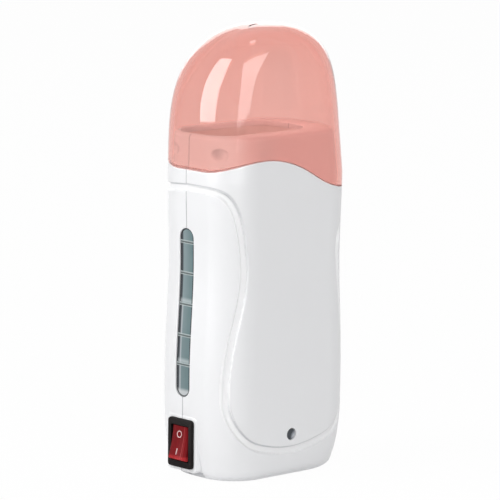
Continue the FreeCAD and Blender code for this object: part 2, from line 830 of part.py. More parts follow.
heater_clamp = strap(
    "heater_clamp", "heater_level", "heater_length/2 + 1",
    "(heater_thickness + mica_thickness)", "clamp_thickness",
    ("clamp_foot", "clamp_foot"), "clamp_width", [level for _, level, _ in STRAP_SCREWS[:2]],
)
fuse_clip = strap(
    "fuse_clip", "fuse_level", "fuse_radius + 0.4", "(2*fuse_radius + 0.4)", "clip_thickness",
    ("clip_foot", "clip_foot/2"), "fuse_length * 0.5", [STRAP_SCREWS[2][1]],
)
LEAD = "1.5"
thermal_fuse = turned(
    "thermal_fuse",
    (f"{HEATER_X} + fuse_radius + 0.2", f"{WELL_Y} - fuse_length/2 - {LEAD}", "fuse_level"),
    (
        ("0", "0"), ("0", "0.5"), (LEAD, "0.5"), (LEAD, "fuse_radius"),
        (f"{LEAD} + fuse_length", "fuse_radius"), (f"{LEAD} + fuse_length", "0.5"),
        (f"2*{LEAD} + fuse_length", "0.5"), (f"2*{LEAD} + fuse_length", "0"),
    ),
    (0, 1, 0),
)


def screw(name, centre, direction, length):
    """Pan-head screw: its origin is under the head and its shank runs along the direction."""
    return turned(name, centre, (
        ("-screw_head_height", "0"), ("-screw_head_height", "screw_head_radius * 0.6"),
        ("-screw_head_height * 0.5", "screw_head_radius"), ("0", "screw_head_radius"),
        ("0", "screw_radius"), (f"{length} - screw_radius", "screw_radius"), (length, "screw_radius * 0.4"),
        (length, "0"),
    ), direction)


clamp_screw_items = []
for name, level, thickness in STRAP_SCREWS:
    under_head = (f"{HEATER_X} + {thickness}", WELL_Y, level)
    shank = f"{thickness} + heater_wall * 0.7"
    clamp_screw_items.append(screw(f"{name}_screw", under_head, (-1, 0, 0), shank))
case_screw_items = [
    screw(f"{name}_case_screw", (x, "screw_seat", z), (0, -1, 0), "screw_length")
    for name, x, z in SCREW_PLACES
]

# ---------------------------------------------------------------- rocker switch
PIVOT_X = PAD_X
ROOM_HALF = "(rocker_half^2 + rocker_rise^2)^0.5 + rocker_gap"
BEZEL_X = f"{PAD_X} - bezel_thickness"
SWITCH_BACK = f"{PAD_X} + switch_body_depth"
switch_housing = new_body("switch_housing")
bezel_sketch = sketch_on(switch_housing, "bezel_outline", "YZ_Plane", BEZEL_X)
draw_rounded(bezel_sketch, *side_outline("switch_level", "bezel_height", "bezel_width", "bezel_corner"))
pad(switch_housing, bezel_sketch, "bezel_thickness")
barrel_sketch = sketch_on(switch_housing, "barrel_outline", "YZ_Plane", PAD_X)
BARREL_OUTLINE = side_outline("switch_level", "switch_height - 2*fit", "switch_width - 2*fit", "0.5")
draw_rounded(barrel_sketch, *BARREL_OUTLINE)
pad(switch_housing, barrel_sketch, "switch_body_depth")
room_sketch = sketch_on(switch_housing, "room_outline", "YZ_Plane", f"{SWITCH_BACK} - switch_floor")
ROOM_OUTLINE = side_outline("switch_level", f"2*({ROOM_HALF})", "rocker_width + 2*rocker_gap", "0.4")
draw_rounded(room_sketch, *ROOM_OUTLINE)
pocket(switch_housing, room_sketch, "switch_body_depth + bezel_thickness")
pivot_sketch = sketch_on(switch_housing, "pivot_outline", "XZ_Plane", "-parting")
draw_circle(pivot_sketch, PIVOT_X, "switch_level", "pivot_radius + fit/2")
pivot_cut = pocket(switch_housing, pivot_sketch, "rocker_width + 2*rocker_gap + 1.4")
pivot_cut.Midplane = True
TAB_LEVELS = ("switch_level", "switch_level + tab_pitch")
tab_sketch = sketch_on(switch_housing, "tab_slots", "YZ_Plane", SWITCH_BACK)
for level in TAB_LEVELS:
    draw_polygon(tab_sketch, (
        ("parting - tab_width/2 - fit/2", f"{level} - tab_thickness/2 - fit/2"),
        ("parting + tab_width/2 + fit/2", f"{level} - tab_thickness/2 - fit/2"),
        ("parting + tab_width/2 + fit/2", f"{level} + tab_thickness/2 + fit/2"),
        ("parting - tab_width/2 - fit/2", f"{level} + tab_thickness/2 + fit/2"),
    ))
pocket(switch_housing, tab_sketch, "2*switch_floor")

# Rocker: a dished front between two ends that are arcs round the pivot, with a hollow stem behind.
ROCKER_PIN = "rocker_width/2 + rocker_gap + 0.6"


def rocker_shape(name):
    """Rocker in its middle position."""
    blank = new_body(f"{name}_blank")
    sketch = sketch_on(blank, f"{name}_profile", "XZ_Plane", "-parting")
    back = f"{PIVOT_X} + 3"
    draw_polygon(sketch, (
        (f"{PIVOT_X} - rocker_rise", "switch_level - rocker_half"),
        (back, "switch_level - rocker_half - 1"),
        (back, "switch_level - stem_width/2"),
        (f"{PIVOT_X} + stem_length", "switch_level - stem_width/2"),
        (f"{PIVOT_X} + stem_length", "switch_level + stem_width/2"),
        (back, "switch_level + stem_width/2"),
        (back, "switch_level + rocker_half + 1"),
        (f"{PIVOT_X} - rocker_rise", "switch_level + rocker_half"),
        (f"{PIVOT_X} - rocker_rise + rocker_dip", "switch_level"),
    ))
    pad(blank, sketch, "rocker_width", both=True)
    reach = "(rocker_half^2 + rocker_rise^2)^0.5"
    side = (PIVOT_X, "parting + rocker_width/2", "switch_level")
    ends = rod(f"{name}_ends", side, "-Y", reach, "rocker_width")
    pin_side = (PIVOT_X, f"parting + {ROCKER_PIN}", "switch_level")
    pins = rod(f"{name}_pins", pin_side, "-Y", "pivot_radius", f"2*({ROCKER_PIN})")
    trim = box(
        f"{name}_trim",
        (f"{back} - 0.01", "parting - rocker_width/2 - 1", "switch_level - rocker_half"),
        (f"{PIVOT_X} + stem_length + 1", "parting - stem_width/2", "switch_level + rocker_half"),
    )
    other_trim = box(
        f"{name}_other_trim",
        (f"{back} - 0.01", "parting + stem_width/2", "switch_level - rocker_half"),
        (f"{PIVOT_X} + stem_length + 1", "parting + rocker_width/2 + 1", "switch_level + rocker_half"),
    )
    bore_start = (f"{PIVOT_X} + 1", "parting", "switch_level")
    bore = rod(f"{name}_bore", bore_start, "+X", "plunger_radius + fit", "stem_length")
    round_body = shared(f"{name}_round", [blank, ends])
    mass = fused(f"{name}_mass", [round_body, pins])
    return cut(name, mass, fused(f"{name}_cuts", [trim, other_trim, bore]))


def tilted(item, name, pivot_x, angle):
    """The item turned about an axis along Y at the switch's level, in a feature of its own."""
    item.recompute(True)
    turned_item = labelled("Part::Feature", name)
    shape = item.Shape.copy()
    pivot = Vector(number(pivot_x), number("parting"), number("switch_level"))
    shape.rotate(pivot, Vector(0, 1, 0), angle)
    turned_item.Shape = shape
    return turned_item


REST = number("rocker_angle")
switch_rocker = tilted(rocker_shape("rocker_middle"), "switch_rocker", PIVOT_X, REST)
SPRING_START = f"{PIVOT_X} + 1.2"
spring_turns = 5
spring = labelled("Part::Feature", "spring_middle")
spring_radius = number("plunger_radius") - 0.25
spring_length = number("stem_length - 2.6")
coil = Part.makeHelix(spring_length / spring_turns, spring_length, spring_radius)
section = Part.Wire(Part.Circle(Vector(spring_radius, 0, 0), Vector(0, 1, 0), 0.2).toShape())
spring.Shape = Part.Wire(coil.Edges).makePipeShell([section], True, True)
spring.Placement = FreeCAD.Placement(Vector(), TURNS["+X"])
place(spring, SPRING_START, "parting", "switch_level")
switch_spring = tilted(spring, "switch_spring", PIVOT_X, REST)
plunger = turned(
    "plunger_middle", (f"{PIVOT_X} + stem_length - 1", "parting", "switch_level"),
    (
        ("0", "0"), ("0", "plunger_radius"), ("2.5", "plunger_radius"),
        ("3.1", "plunger_radius * 0.6"), ("3.3", "0"),
    ),
    (1, 0, 0),
)
switch_plunger = tilted(plunger, "switch_plunger", PIVOT_X, REST)

ARM_X = f"{PIVOT_X} + stem_length + 2.4"
arm = box(
    "arm_middle",
    (ARM_X, "parting - arm_width/2", "switch_level - arm_length/2"),
    (f"{ARM_X} + arm_thickness", "parting + arm_width/2", "switch_level + arm_length/2"),
)
ARM_PIVOT_X = f"{ARM_X} + arm_thickness + 2*fit"
switch_contact_arm = tilted(arm, "switch_contact_arm", ARM_PIVOT_X, -number("arm_angle"))
TAB_REACH = f"{ARM_X} + arm_thickness + 1"
terminals = []
for index, level in enumerate(TAB_LEVELS):
    start = ARM_PIVOT_X if index == 0 else TAB_REACH
    terminals.append(box(
        f"terminal_{index}",
        (start, "parting - tab_width/2", f"{level} - tab_thickness/2"),
        (f"{SWITCH_BACK} + tab_length", "parting + tab_width/2", f"{level} + tab_thickness/2"),
    ))

# ---------------------------------------------------------------- indicator
indicator_lens = turned(
    "indicator_lens", ("0", LENS_FRONT, "lamp_level"),
    (
        ("0", "0"), ("0", "lens_radius - 0.3"), ("0.3", "lens_radius"), ("wall - 0.3", "lens_radius"),
        ("wall - 0.3", "lens_radius + 0.8"), ("wall + 0.5", "lens_radius + 0.8"), ("wall + 0.5", "0"),
    ),
    (0, 1, 0),
)
indicator_lamp = turned(
    "indicator_lamp", ("0", BOARD_FRONT, "lamp_level"),
    (
        ("0", "0"), ("0", "lamp_radius + 0.3"), ("0.8", "lamp_radius + 0.3"), ("0.8", "lamp_radius"),
        ("lamp_length - 1", "lamp_radius"), ("lamp_length - 0.3", "lamp_radius * 0.7"), ("lamp_length", "0"),
    ),
    (0, -1, 0),
)
indicator_board = new_body("indicator_board")
board_sketch = sketch_on(indicator_board, "board_outline", "XZ_Plane", "board_back")
draw_rounded(board_sketch, BOARD_LEFT, BOARD_RIGHT, BOARD_LOW, BOARD_HIGH, "0.8", "0.8")
pad(indicator_board, board_sketch, "board_thickness")
peg_sketch = sketch_on(indicator_board, "peg_holes", "XZ_Plane", "board_back + board_thickness")
for x, z in PEG_PLACES:
    draw_circle(peg_sketch, x, z, "peg_radius + fit")
pocket(indicator_board, peg_sketch, "board_thickness")
RESISTOR_START = ("board_shift - 3", "-board_back + 0.9", "lamp_level - 3")
board_resistor = rod("board_resistor", RESISTOR_START, "+X", "0.9", "6")

# ---------------------------------------------------------------- power inlet
power_inlet = new_body("power_inlet")
inlet_sketch = sketch_on(power_inlet, "inlet_outline", "XZ_Plane", f"-({INLET_Y} - 0.2)")


def inlet_edges(margin):
    """Left, right, bottom and top edge of a rectangle round the socket."""
    return (
        f"inlet_offset - socket_width/2 - {margin}",
        f"inlet_offset + socket_width/2 + {margin}",
        f"inlet_level - socket_height/2 - {margin}",
        f"inlet_level + socket_height/2 + {margin}",
    )


draw_rounded(inlet_sketch, *inlet_edges("inlet_wall"), "0.8", "0.8")
pad(power_inlet, inlet_sketch, "inlet_body_depth")
flange_sketch = sketch_on(power_inlet, "flange_outline", "XZ_Plane", f"-({INLET_Y} - wall - fit)")
draw_rounded(flange_sketch, *inlet_edges("(inlet_wall + 1.3)"), "0.8", "0.8")
pad(power_inlet, flange_sketch, "inlet_wall")
socket_sketch = sketch_on(power_inlet, "socket_outline", "XZ_Plane", f"-({INLET_Y} - 0.2)")
draw_rounded(socket_sketch, *inlet_edges("0"), "socket_height * 0.46", "socket_height * 0.46")
pocket(power_inlet, socket_sketch, "socket_depth", along_normal=True)
PIN_OFFSETS = ("inlet_offset - pin_spacing/2", "inlet_offset + pin_spacing/2")
PIN_END = f"{INLET_Y} - 0.2 - inlet_body_depth - pin_tail"
pin_sketch = sketch_on(power_inlet, "pin_holes", "XZ_Plane", f"-({INLET_Y} - 0.2)")
for x in PIN_OFFSETS:
    draw_circle(pin_sketch, x, "inlet_level", "pin_radius")
pocket(power_inlet, pin_sketch, "2*inlet_body_depth", along_normal=True)
pins = [
    rod(f"pin_{index}", (x, PIN_END, "inlet_level"), "+Y", "pin_radius", "inlet_body_depth + pin_tail - 2")
    for index, x in enumerate(PIN_OFFSETS)
]


# ---------------------------------------------------------------- wires
def wire(name, points):
    """Insulated wire along straight runs joined by arcs."""
    route = [Vector(*(number(part) for part in point)) for point in points]
    edges = []
    start = route[0]
    for index in range(1, len(route) - 1):
        before, corner, after = route[index - 1], route[index], route[index + 1]
        inward = (before - corner).normalize()
        outward = (after - corner).normalize()
        half_turn = inward.getAngle(outward) / 2
        room = 0.45 * min((before - corner).Length, (after - corner).Length)
        setback = min(number("wire_bend"), room)
        first = corner + inward * setback
        last = corner + outward * setback
        middle = (inward + outward).normalize()
        radius = setback * math.tan(half_turn)
        centre_distance = setback / math.cos(half_turn)
        peak = corner + middle * (centre_distance - radius)
        edges.append(Part.makeLine(start, first))
        edges.append(Part.Arc(first, peak, last).toShape())
        start = last
    edges.append(Part.makeLine(start, route[-1]))
    path = Part.Wire(edges)
    section = Part.Wire(Part.Circle(route[0], route[1] - route[0], number("wire_radius")).toShape())
    item = labelled("Part::Feature", name)
    item.Shape = path.makePipeShell([section], True, False)
    return item


TAIL_Y = f"{PIN_END} - fit"
TAB_END = f"{SWITCH_BACK} + tab_length + fit"
LEFT_PIN, RIGHT_PIN = PIN_OFFSETS
SIDE_X = "waist_width/2 - 4.5"
HEATER_MID = f"{HEATER_X} + heater_thickness/2"
HEATER_END = "heater_level - heater_length/2 - fit"
FUSE_X = f"{HEATER_X} + fuse_radius + 0.2"
FUSE_FRONT = f"{WELL_Y} - fuse_length/2 - {LEAD} - fit"
FUSE_REAR = f"{WELL_Y} + fuse_length/2 + {LEAD} + fit"
CROSSING = "inlet_level + 4.5"
live_wire = wire("live_wire", (
    (LEFT_PIN, TAIL_Y, "inlet_level"),
    (LEFT_PIN, "-1", "inlet_level"),
    (f"{TAB_END} + 6", "-1", "switch_level"),
    (f"{TAB_END} + 3", "parting", "switch_level"),
    (TAB_END, "parting", "switch_level"),
))
neutral_wire = wire("neutral_wire", (
    (RIGHT_PIN, TAIL_Y, "inlet_level"),
    (RIGHT_PIN, f"{WELL_Y} - heater_width/2 + 2", "inlet_level"),
    (RIGHT_PIN, f"{WELL_Y} - heater_width/2 + 2", "inlet_level + 6"),
    (HEATER_MID, f"{WELL_Y} - heater_width/2 + 2", "inlet_level + 6"),
    (HEATER_MID, f"{WELL_Y} - heater_width/2 + 2", HEATER_END),
))
switched_wire = wire("switched_wire", (
    (TAB_END, "parting", TAB_LEVELS[1]),
    (f"{TAB_END} + 2.6", "parting", TAB_LEVELS[1]),
    (f"{TAB_END} + 2.6", "-10", CROSSING),
    (SIDE_X, "-10", CROSSING),
    (SIDE_X, "-10", "fuse_level"),
    (FUSE_X, "-10", "fuse_level"),
    (FUSE_X, FUSE_FRONT, "fuse_level"),
))
heater_wire = wire("heater_wire", (
    (FUSE_X, FUSE_REAR, "fuse_level"),
    (FUSE_X, f"{FUSE_REAR} + 3", "fuse_level"),
    (SIDE_X, f"{FUSE_REAR} + 1", "fuse_level - 6"),
    (SIDE_X, f"{FUSE_REAR} + 1", "heater_level - heater_length/2 - 8"),
    (HEATER_MID, f"{WELL_Y} + heater_width/2 - 2", "heater_level - heater_length/2 - 8"),
    (HEATER_MID, f"{WELL_Y} + heater_width/2 - 2", HEATER_END),
))
lamp_wires = fused("lamp_wires", [
    wire("lamp_wire_left", (
        (f"{BOARD_LEFT} + 4", "-board_back + 4*fit", f"{BOARD_LOW} + 1"),
        (f"{BOARD_LEFT} + 4", "-8", f"{BOARD_LOW} + 1"),
        (f"{TAB_END} + 4", "-6", "switch_level - 0.5"),
        (f"{TAB_END} + 1", "parting - tab_width/2", "switch_level - 1.8"),
    )),
    wire("lamp_wire_right", (
        (f"{BOARD_RIGHT} - 2", "-board_back + 4*fit", f"{BOARD_LOW} + 2"),
        (f"{BOARD_RIGHT} - 2", "-8", f"{BOARD_LOW} + 2"),
        (f"{RIGHT_PIN} - 2.6", "-3", "inlet_level"),
        (f"{RIGHT_PIN} - 2.4", f"{PIN_END} + 1", "inlet_level"),
    )),
])

# ---------------------------------------------------------------- export
case_screws = fused("case_screws", case_screw_items)
clamp_screws = fused("clamp_screws", clamp_screw_items)
switch_terminals = fused("switch_terminals", terminals)
inlet_pins = fused("inlet_pins", pins)
NODES = (
    front_shell, rear_shell, cap, level_window, wax_chamber, ptc_heater, mica_sheet, heater_clamp,
    clamp_screws, thermal_fuse, fuse_clip, switch_housing, switch_rocker, switch_spring, switch_plunger,
    switch_contact_arm, switch_terminals, indicator_lens, indicator_lamp, indicator_board, board_resistor,
    power_inlet, inlet_pins, case_screws, live_wire, neutral_wire, switched_wire, heater_wire, lamp_wires,
)
doc.recompute()
for item in doc.Objects:
    if {"Invalid", "Error"} & set(item.State):
        raise RuntimeError(f"{item.Label} failed: {item.State}")
for node in NODES:
    if node.Shape.isNull() or not node.Shape.isValid():
        raise RuntimeError(f"{node.Label} has no valid shape")
for node in NODES:
    node.Shape.exportStep(f"parts/{node.Label}.step")
    print(node.Label, len(node.Shape.Solids), round(node.Shape.Volume, 1))
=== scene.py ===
"""Looks of the hand-held roll-on wax heater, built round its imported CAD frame."""

import math

import bpy
import numpy as np
from mathutils import Matrix, Vector, kdtree


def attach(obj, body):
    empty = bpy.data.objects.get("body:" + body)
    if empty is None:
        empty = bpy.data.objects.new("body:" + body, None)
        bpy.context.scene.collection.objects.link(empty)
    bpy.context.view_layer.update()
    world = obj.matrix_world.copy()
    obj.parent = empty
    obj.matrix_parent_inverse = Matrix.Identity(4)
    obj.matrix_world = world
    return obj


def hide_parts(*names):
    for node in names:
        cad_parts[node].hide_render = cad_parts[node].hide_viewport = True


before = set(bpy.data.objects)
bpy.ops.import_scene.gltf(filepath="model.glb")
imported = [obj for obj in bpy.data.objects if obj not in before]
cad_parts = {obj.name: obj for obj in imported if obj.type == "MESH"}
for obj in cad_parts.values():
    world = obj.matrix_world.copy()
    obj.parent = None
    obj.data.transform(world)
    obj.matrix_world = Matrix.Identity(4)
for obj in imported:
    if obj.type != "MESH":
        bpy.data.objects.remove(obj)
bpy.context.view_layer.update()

# ---------------------------------------------------------------- case
# Two moulded shells of white satin plastic meet on a vertical parting plane. A soft groove runs round the
# front panel, the upper edge is the wavy rim line that the cap stands on, and a neck rises inside it.
MM = 0.001
TOTAL_HEIGHT = 192.0
HIP_LEVEL, WAIST_LEVEL, SHOULDER_LEVEL = 45.0, 92.0, 128.0
HIP_HALF, WAIST_HALF, SHOULDER_HALF = 37.3, 35.5, 36.45
HALF_DEPTH = 25.6
FOOT_TAPER_SIDE, FOOT_TAPER_FRONT, FOOT_ROUND = 4.8, 2.9, 3.0
FOOT_TAPER_POWER = 4
FRONT_CORNER, REAR_CORNER, CROWN_GROWTH, CROWN_LEAN = 16.0, 18.6, 13.0, 5.5
CORNER_SHARE = 0.86
# The crown is a superellipse in either view, given as (power of the rise, power of the width).
CROWN_SIDE, CROWN_FRONT = (3.85, 2.24), (4.45, 2.95)
PARTING = 2.6
WALL = 2.0
NECK_INSET, BORE_INSET, NECK_TOP, NECK_PLATE, NECK_ROUND = 2.4, 3.8, 146.8, 2.2, 1.7
RIM_POINTS = (
    (-51.2, 122), (-36.45, 132), (-26.2, 135.8), (-13.5, 136.7),
    (5.8, 131.3), (20, 124), (36.45, 121), (51.2, 120),
)
GROOVE_HALF, GROOVE_DEPTH, GROOVE_EDGE = 1.45, 1.1, 0.32
GROOVE_LEFT, GROOVE_RIGHT = 125.5, 115.0
LAMP_LEVEL = 18.5
SEAM_DEPTH, SEAM_HALF = 0.34, 0.2
DIMPLE_LEVEL, DIMPLE_TURN, DIMPLE_SIZE, DIMPLE_DEPTH = 139.6, math.radians(20), (3.7, 2.4), 1.25
DIMPLE_REACH, DIMPLE_SHADE = 8.0, 0.6


def eased(share):
    """Smooth step from 0 to 1."""
    share = np.clip(share, 0, 1)
    return share * share * (3 - 2 * share)


def lesser(one, other, blend=3.0):
    """Smaller of two sizes, with a soft change from one to the other."""
    near = np.maximum(blend - np.abs(one - other), 0) / blend
    return np.minimum(one, other) - near * near * blend / 4


def form(level, inset):
    """Half width, half depth, lean, front corner and rear corner of the case at a level."""
    low = np.clip(1 - level / HIP_LEVEL, 0, 1) ** FOOT_TAPER_POWER
    below = np.maximum(FOOT_ROUND - level, 0)
    tuck = FOOT_ROUND - np.sqrt(np.maximum(FOOT_ROUND**2 - below**2, 0))
    waist = (WAIST_HALF - HIP_HALF) * eased((level - HIP_LEVEL) / (WAIST_LEVEL - HIP_LEVEL))
    shoulder = (SHOULDER_HALF - WAIST_HALF) * eased((level - WAIST_LEVEL) / (SHOULDER_LEVEL - WAIST_LEVEL))
    rise = np.clip((level - SHOULDER_LEVEL) / (TOTAL_HEIGHT - SHOULDER_LEVEL - inset), 0, 1)
    side_shrink = (1 - rise ** CROWN_SIDE[0]) ** (1 / CROWN_SIDE[1])
    half = (HIP_HALF + waist + shoulder - FOOT_TAPER_SIDE * low - tuck - inset) * side_shrink
    front_shrink = (1 - rise ** CROWN_FRONT[0]) ** (1 / CROWN_FRONT[1])
    deep = (HALF_DEPTH - FOOT_TAPER_FRONT * low - tuck - inset) * front_shrink
    largest = CORNER_SHARE * np.minimum(half, deep)
    front = lesser(FRONT_CORNER + CROWN_GROWTH * rise - inset, largest)
    rear = lesser(REAR_CORNER - inset, largest)
    return half, deep, CROWN_LEAN * rise**3, front, rear


def outline(level, track, inset=0.0):
    """Points of the form.

    The track runs once round it, anticlockwise from the left parting line, from 0 to 10.
    """
    half, deep, lean, front, rear = form(np.asarray(level, float) + 0 * track, inset)
    low, high = front - deep, deep - rear
    split = np.clip(PARTING + lean, low, high)
    piece = np.floor(track).astype(int) + 0 * half.astype(int)
    share = track - np.floor(track)
    across, along = np.cos(share * math.pi / 2), np.sin(share * math.pi / 2)
    x = np.choose(piece, (
        -half, front - half - front * across, (front - half) * (1 - 2 * share),
        half - front + front * along, half,
        half, half - rear + rear * across, (half - rear) * (1 - 2 * share),
        rear - half - rear * along, -half,
    ))
    y = np.choose(piece, (
        split + (low - split) * share, low - front * along, -deep,
        low - front * across, low + (split - low) * share,
        split + (high - split) * share, high + rear * along, deep,
        high + rear * across, high + (split - high) * share,
    ))
    return np.stack([x, y - lean, np.asarray(level, float) + 0 * x], axis=-1)


def spline(points, steps):
    """Natural cubic curve through points, with the chord length as its parameter."""
    points = np.array(points, float)
    knots = np.concatenate([[0], np.cumsum(np.linalg.norm(np.diff(points, axis=0), axis=1))])
    gaps = np.diff(knots)
    count = len(points)
    system, target = np.eye(count), np.zeros_like(points)
    for k in range(1, count - 1):
        system[k, k - 1 : k + 2] = gaps[k - 1], 2 * (gaps[k - 1] + gaps[k]), gaps[k]
        before, after = points[k] - points[k - 1], points[k + 1] - points[k]
        target[k] = 6 * (after / gaps[k] - before / gaps[k - 1])
    bend = np.linalg.solve(system, target)
    where = np.linspace(0, knots[-1], steps)
    k = np.clip(np.searchsorted(knots, where, side="right") - 1, 0, count - 2)
    a, b, gap = (knots[k + 1] - where)[:, None], (where - knots[k])[:, None], gaps[k][:, None]
    cubic = (a**3 * bend[k] + b**3 * bend[k + 1]) / (6 * gap)
    start, end = points[k] / gap - bend[k] * gap / 6, points[k + 1] / gap - bend[k + 1] * gap / 6
    return cubic + start * a + end * b


RIM_STEPS, RIM_PASSES = 900, 4
RIM_LINE = spline(RIM_POINTS, RIM_STEPS)


def rim_ring(track, inset, lift=0.0):
    """Levels at which the rim line crosses the form."""
    level = np.full(track.shape, SHOULDER_LEVEL)
    for _ in range(RIM_PASSES):
        level = np.interp(outline(level, track, inset)[:, 0], RIM_LINE[:, 0], RIM_LINE[:, 1]) + lift
    return level


def new_piece(name, vertices, faces):
    """Mesh object from points in millimetres."""
    mesh = bpy.data.meshes.new(name)
    mesh.from_pydata((np.asarray(vertices, float) * MM).tolist(), [], faces)
    mesh.update()
    item = bpy.data.objects.new(name, mesh)
    bpy.context.scene.collection.objects.link(item)
    return item


def lofted(name, rings):
    """Closed mesh through rings of points, with a flat face at either end."""
    rings = np.array(rings, float)
    rows, columns = rings.shape[:2]
    ids = np.arange(rows * columns).reshape(rows, columns)
    after = np.roll(ids, -1, axis=1)
    sides = np.stack([ids[:-1], after[:-1], after[1:], ids[1:]], axis=-1).reshape(-1, 4).tolist()
    return new_piece(name, rings.reshape(-1, 3), sides + [ids[0][::-1].tolist(), ids[-1].tolist()])


def carve(item, tools, operation="DIFFERENCE"):
    """Cut, join or intersect with other closed pieces, which are used up."""
    for tool in tools:
        change = item.modifiers.new(tool.name, "BOOLEAN")
        change.operation, change.solver, change.object = operation, "MANIFOLD", tool
    mesh = bpy.data.meshes.new_from_object(item.evaluated_get(bpy.context.evaluated_depsgraph_get()))
    item.modifiers.clear()
    item.data = mesh
    for tool in tools:
        bpy.data.objects.remove(tool)
    return item


def copied(item, name):
    """A second piece with the same mesh."""
    other = bpy.data.objects.new(name, item.data.copy())
    bpy.context.scene.collection.objects.link(other)
    return other


AXES = {"X": (0, 1, 2), "Y": (1, 0, 2), "Z": (2, 0, 1)}
LEAST_RADIUS = 0.01


def rounded_bar(name, axis, centre, size, corner, stations, steps=8):
    """Bar with a rounded rectangular outline; each station is (place along the axis, inset)."""
    along, first, second = AXES[axis]
    turn = np.linspace(0, math.pi / 2, steps)
    rings = []
    for place, inset in stations:
        reach = np.array(size) / 2 - inset
        radius = max(corner - inset, 2 * LEAST_RADIUS)
        points = []
        for quarter, (a, b) in enumerate(((1, 1), (-1, 1), (-1, -1), (1, -1))):
            angle = turn + quarter * math.pi / 2
            points.append(np.stack([
                centre[0] + a * (reach[0] - radius) + radius * np.cos(angle),
                centre[1] + b * (reach[1] - radius) + radius * np.sin(angle),
            ], axis=-1))
        flat = np.concatenate(points)
        ring = np.zeros((len(flat), 3))
        ring[:, along], ring[:, first], ring[:, second] = place, flat[:, 0], flat[:, 1]
        rings.append(ring)
    if (axis == "Y") == (stations[-1][0] > stations[0][0]):
        rings.reverse()
    return lofted(name, rings)


def turned(name, axis, centre, profile, steps=48):
    """Round piece on an axis; the profile is a list of (place along the axis, radius)."""
    along, first, second = AXES[axis]
    turn = np.linspace(0, 2 * math.pi, steps, endpoint=False)
    rings = []
    for place, radius in profile:
        ring = np.zeros((steps, 3))
        ring[:, along] = place
        ring[:, first] = centre[0] + max(radius, LEAST_RADIUS) * np.cos(turn)
        ring[:, second] = centre[1] + max(radius, LEAST_RADIUS) * np.sin(turn)
        rings.append(ring)
    if (axis == "Y") == (profile[-1][0] > profile[0][0]):
        rings.reverse()
    return lofted(name, rings)


SHARP_ANGLE = math.radians(32)


def smoothed(item):
    """Shade smooth, but keep edges steeper than an angle sharp."""
    item.data.shade_smooth()
    item.data.set_sharp_from_angle(angle=SHARP_ANGLE)
    return item


class Value:
    """A shader value. Arithmetic on it adds Math nodes."""

    def __init__(self, tree, socket):
        self.tree, self.socket = tree, socket

    def math(self, operation, *others):
        """Result of a Math node."""
        return self.tree.node("ShaderNodeMath", {"operation": operation}, dict(enumerate((self,) + others)))

    def __add__(self, other):
        return self.math("ADD", other)

    def __sub__(self, other):
        return self.math("SUBTRACT", other)

    def __mul__(self, other):
        return self.math("MULTIPLY", other)

    def __rsub__(self, other):
        return self * -1.0 + other

    def between(self, low, high):
        """0 below one value, 1 above another, smooth in between; swapped, it falls from 1 to 0."""
        limits = {"Value": self, "From Min": min(low, high), "From Max": max(low, high)}
        share = self.tree.node("ShaderNodeMapRange", {"interpolation_type": "SMOOTHSTEP"}, limits)
        return share if low < high else 1 - share


class Tree:
    """Nodes of a material, of the world or of a modifier."""

    def __init__(self, node_tree):
        self.nodes, self.links = node_tree.nodes, node_tree.links

    def fill(self, node, sockets):
        """Give sockets their values or links."""
        for key, value in sockets.items():
            if isinstance(value, Value):
                self.links.new(value.socket, node.inputs[key])
            else:
                node.inputs[key].default_value = value

    def node(self, kind, settings, sockets, output=0):
        """Add a node: its settings first, then its sockets."""
        made = self.nodes.new(kind)
        for key, value in settings.items():
            setattr(made, key, value)
        self.fill(made, sockets)
        return None if output is None else Value(self, made.outputs[output])

    def place(self):
        """Object coordinates, in metres."""
        return self.node("ShaderNodeTexCoord", {}, {}, "Object")

    def axes(self):
        """X, Y and Z in millimetres."""
        made = self.node("ShaderNodeSeparateXYZ", {}, {"Vector": self.place()})
        return [Value(self, socket) * (1 / MM) for socket in made.socket.node.outputs]

    def noise(self, scale):
        """Noise between 0 and 1 over the object."""
        return self.node("ShaderNodeTexNoise", {}, {"Vector": self.place(), "Scale": scale})

    def stored(self, name):
        """Value that the mesh stores at its points."""
        return self.node("ShaderNodeAttribute", {"attribute_name": name}, {}, "Fac")

    def mixed(self, share, base, other):
        """Colour between two colours."""
        tones = {"Factor": share}
        for key, tone in ((6, base), (7, other)):
            tones[key] = tone if isinstance(tone, Value) else (*tone, 1)
        return self.node("ShaderNodeMix", {"data_type": "RGBA"}, tones, 2)

    def through(self):
        """1 for what is seen through a see-through piece."""
        return self.node("ShaderNodeLightPath", {}, {}, "Is Transmission Ray")

    def seen(self):
        """1 for what the camera sees directly, in a reflection or through glass."""
        path = self.node("ShaderNodeLightPath", {}, {}, "Is Camera Ray")
        others = path.socket.node.outputs
        mirrored = path.math("MAXIMUM", Value(self, others["Is Glossy Ray"]))
        return mirrored.math("MAXIMUM", Value(self, others["Is Transmission Ray"]))


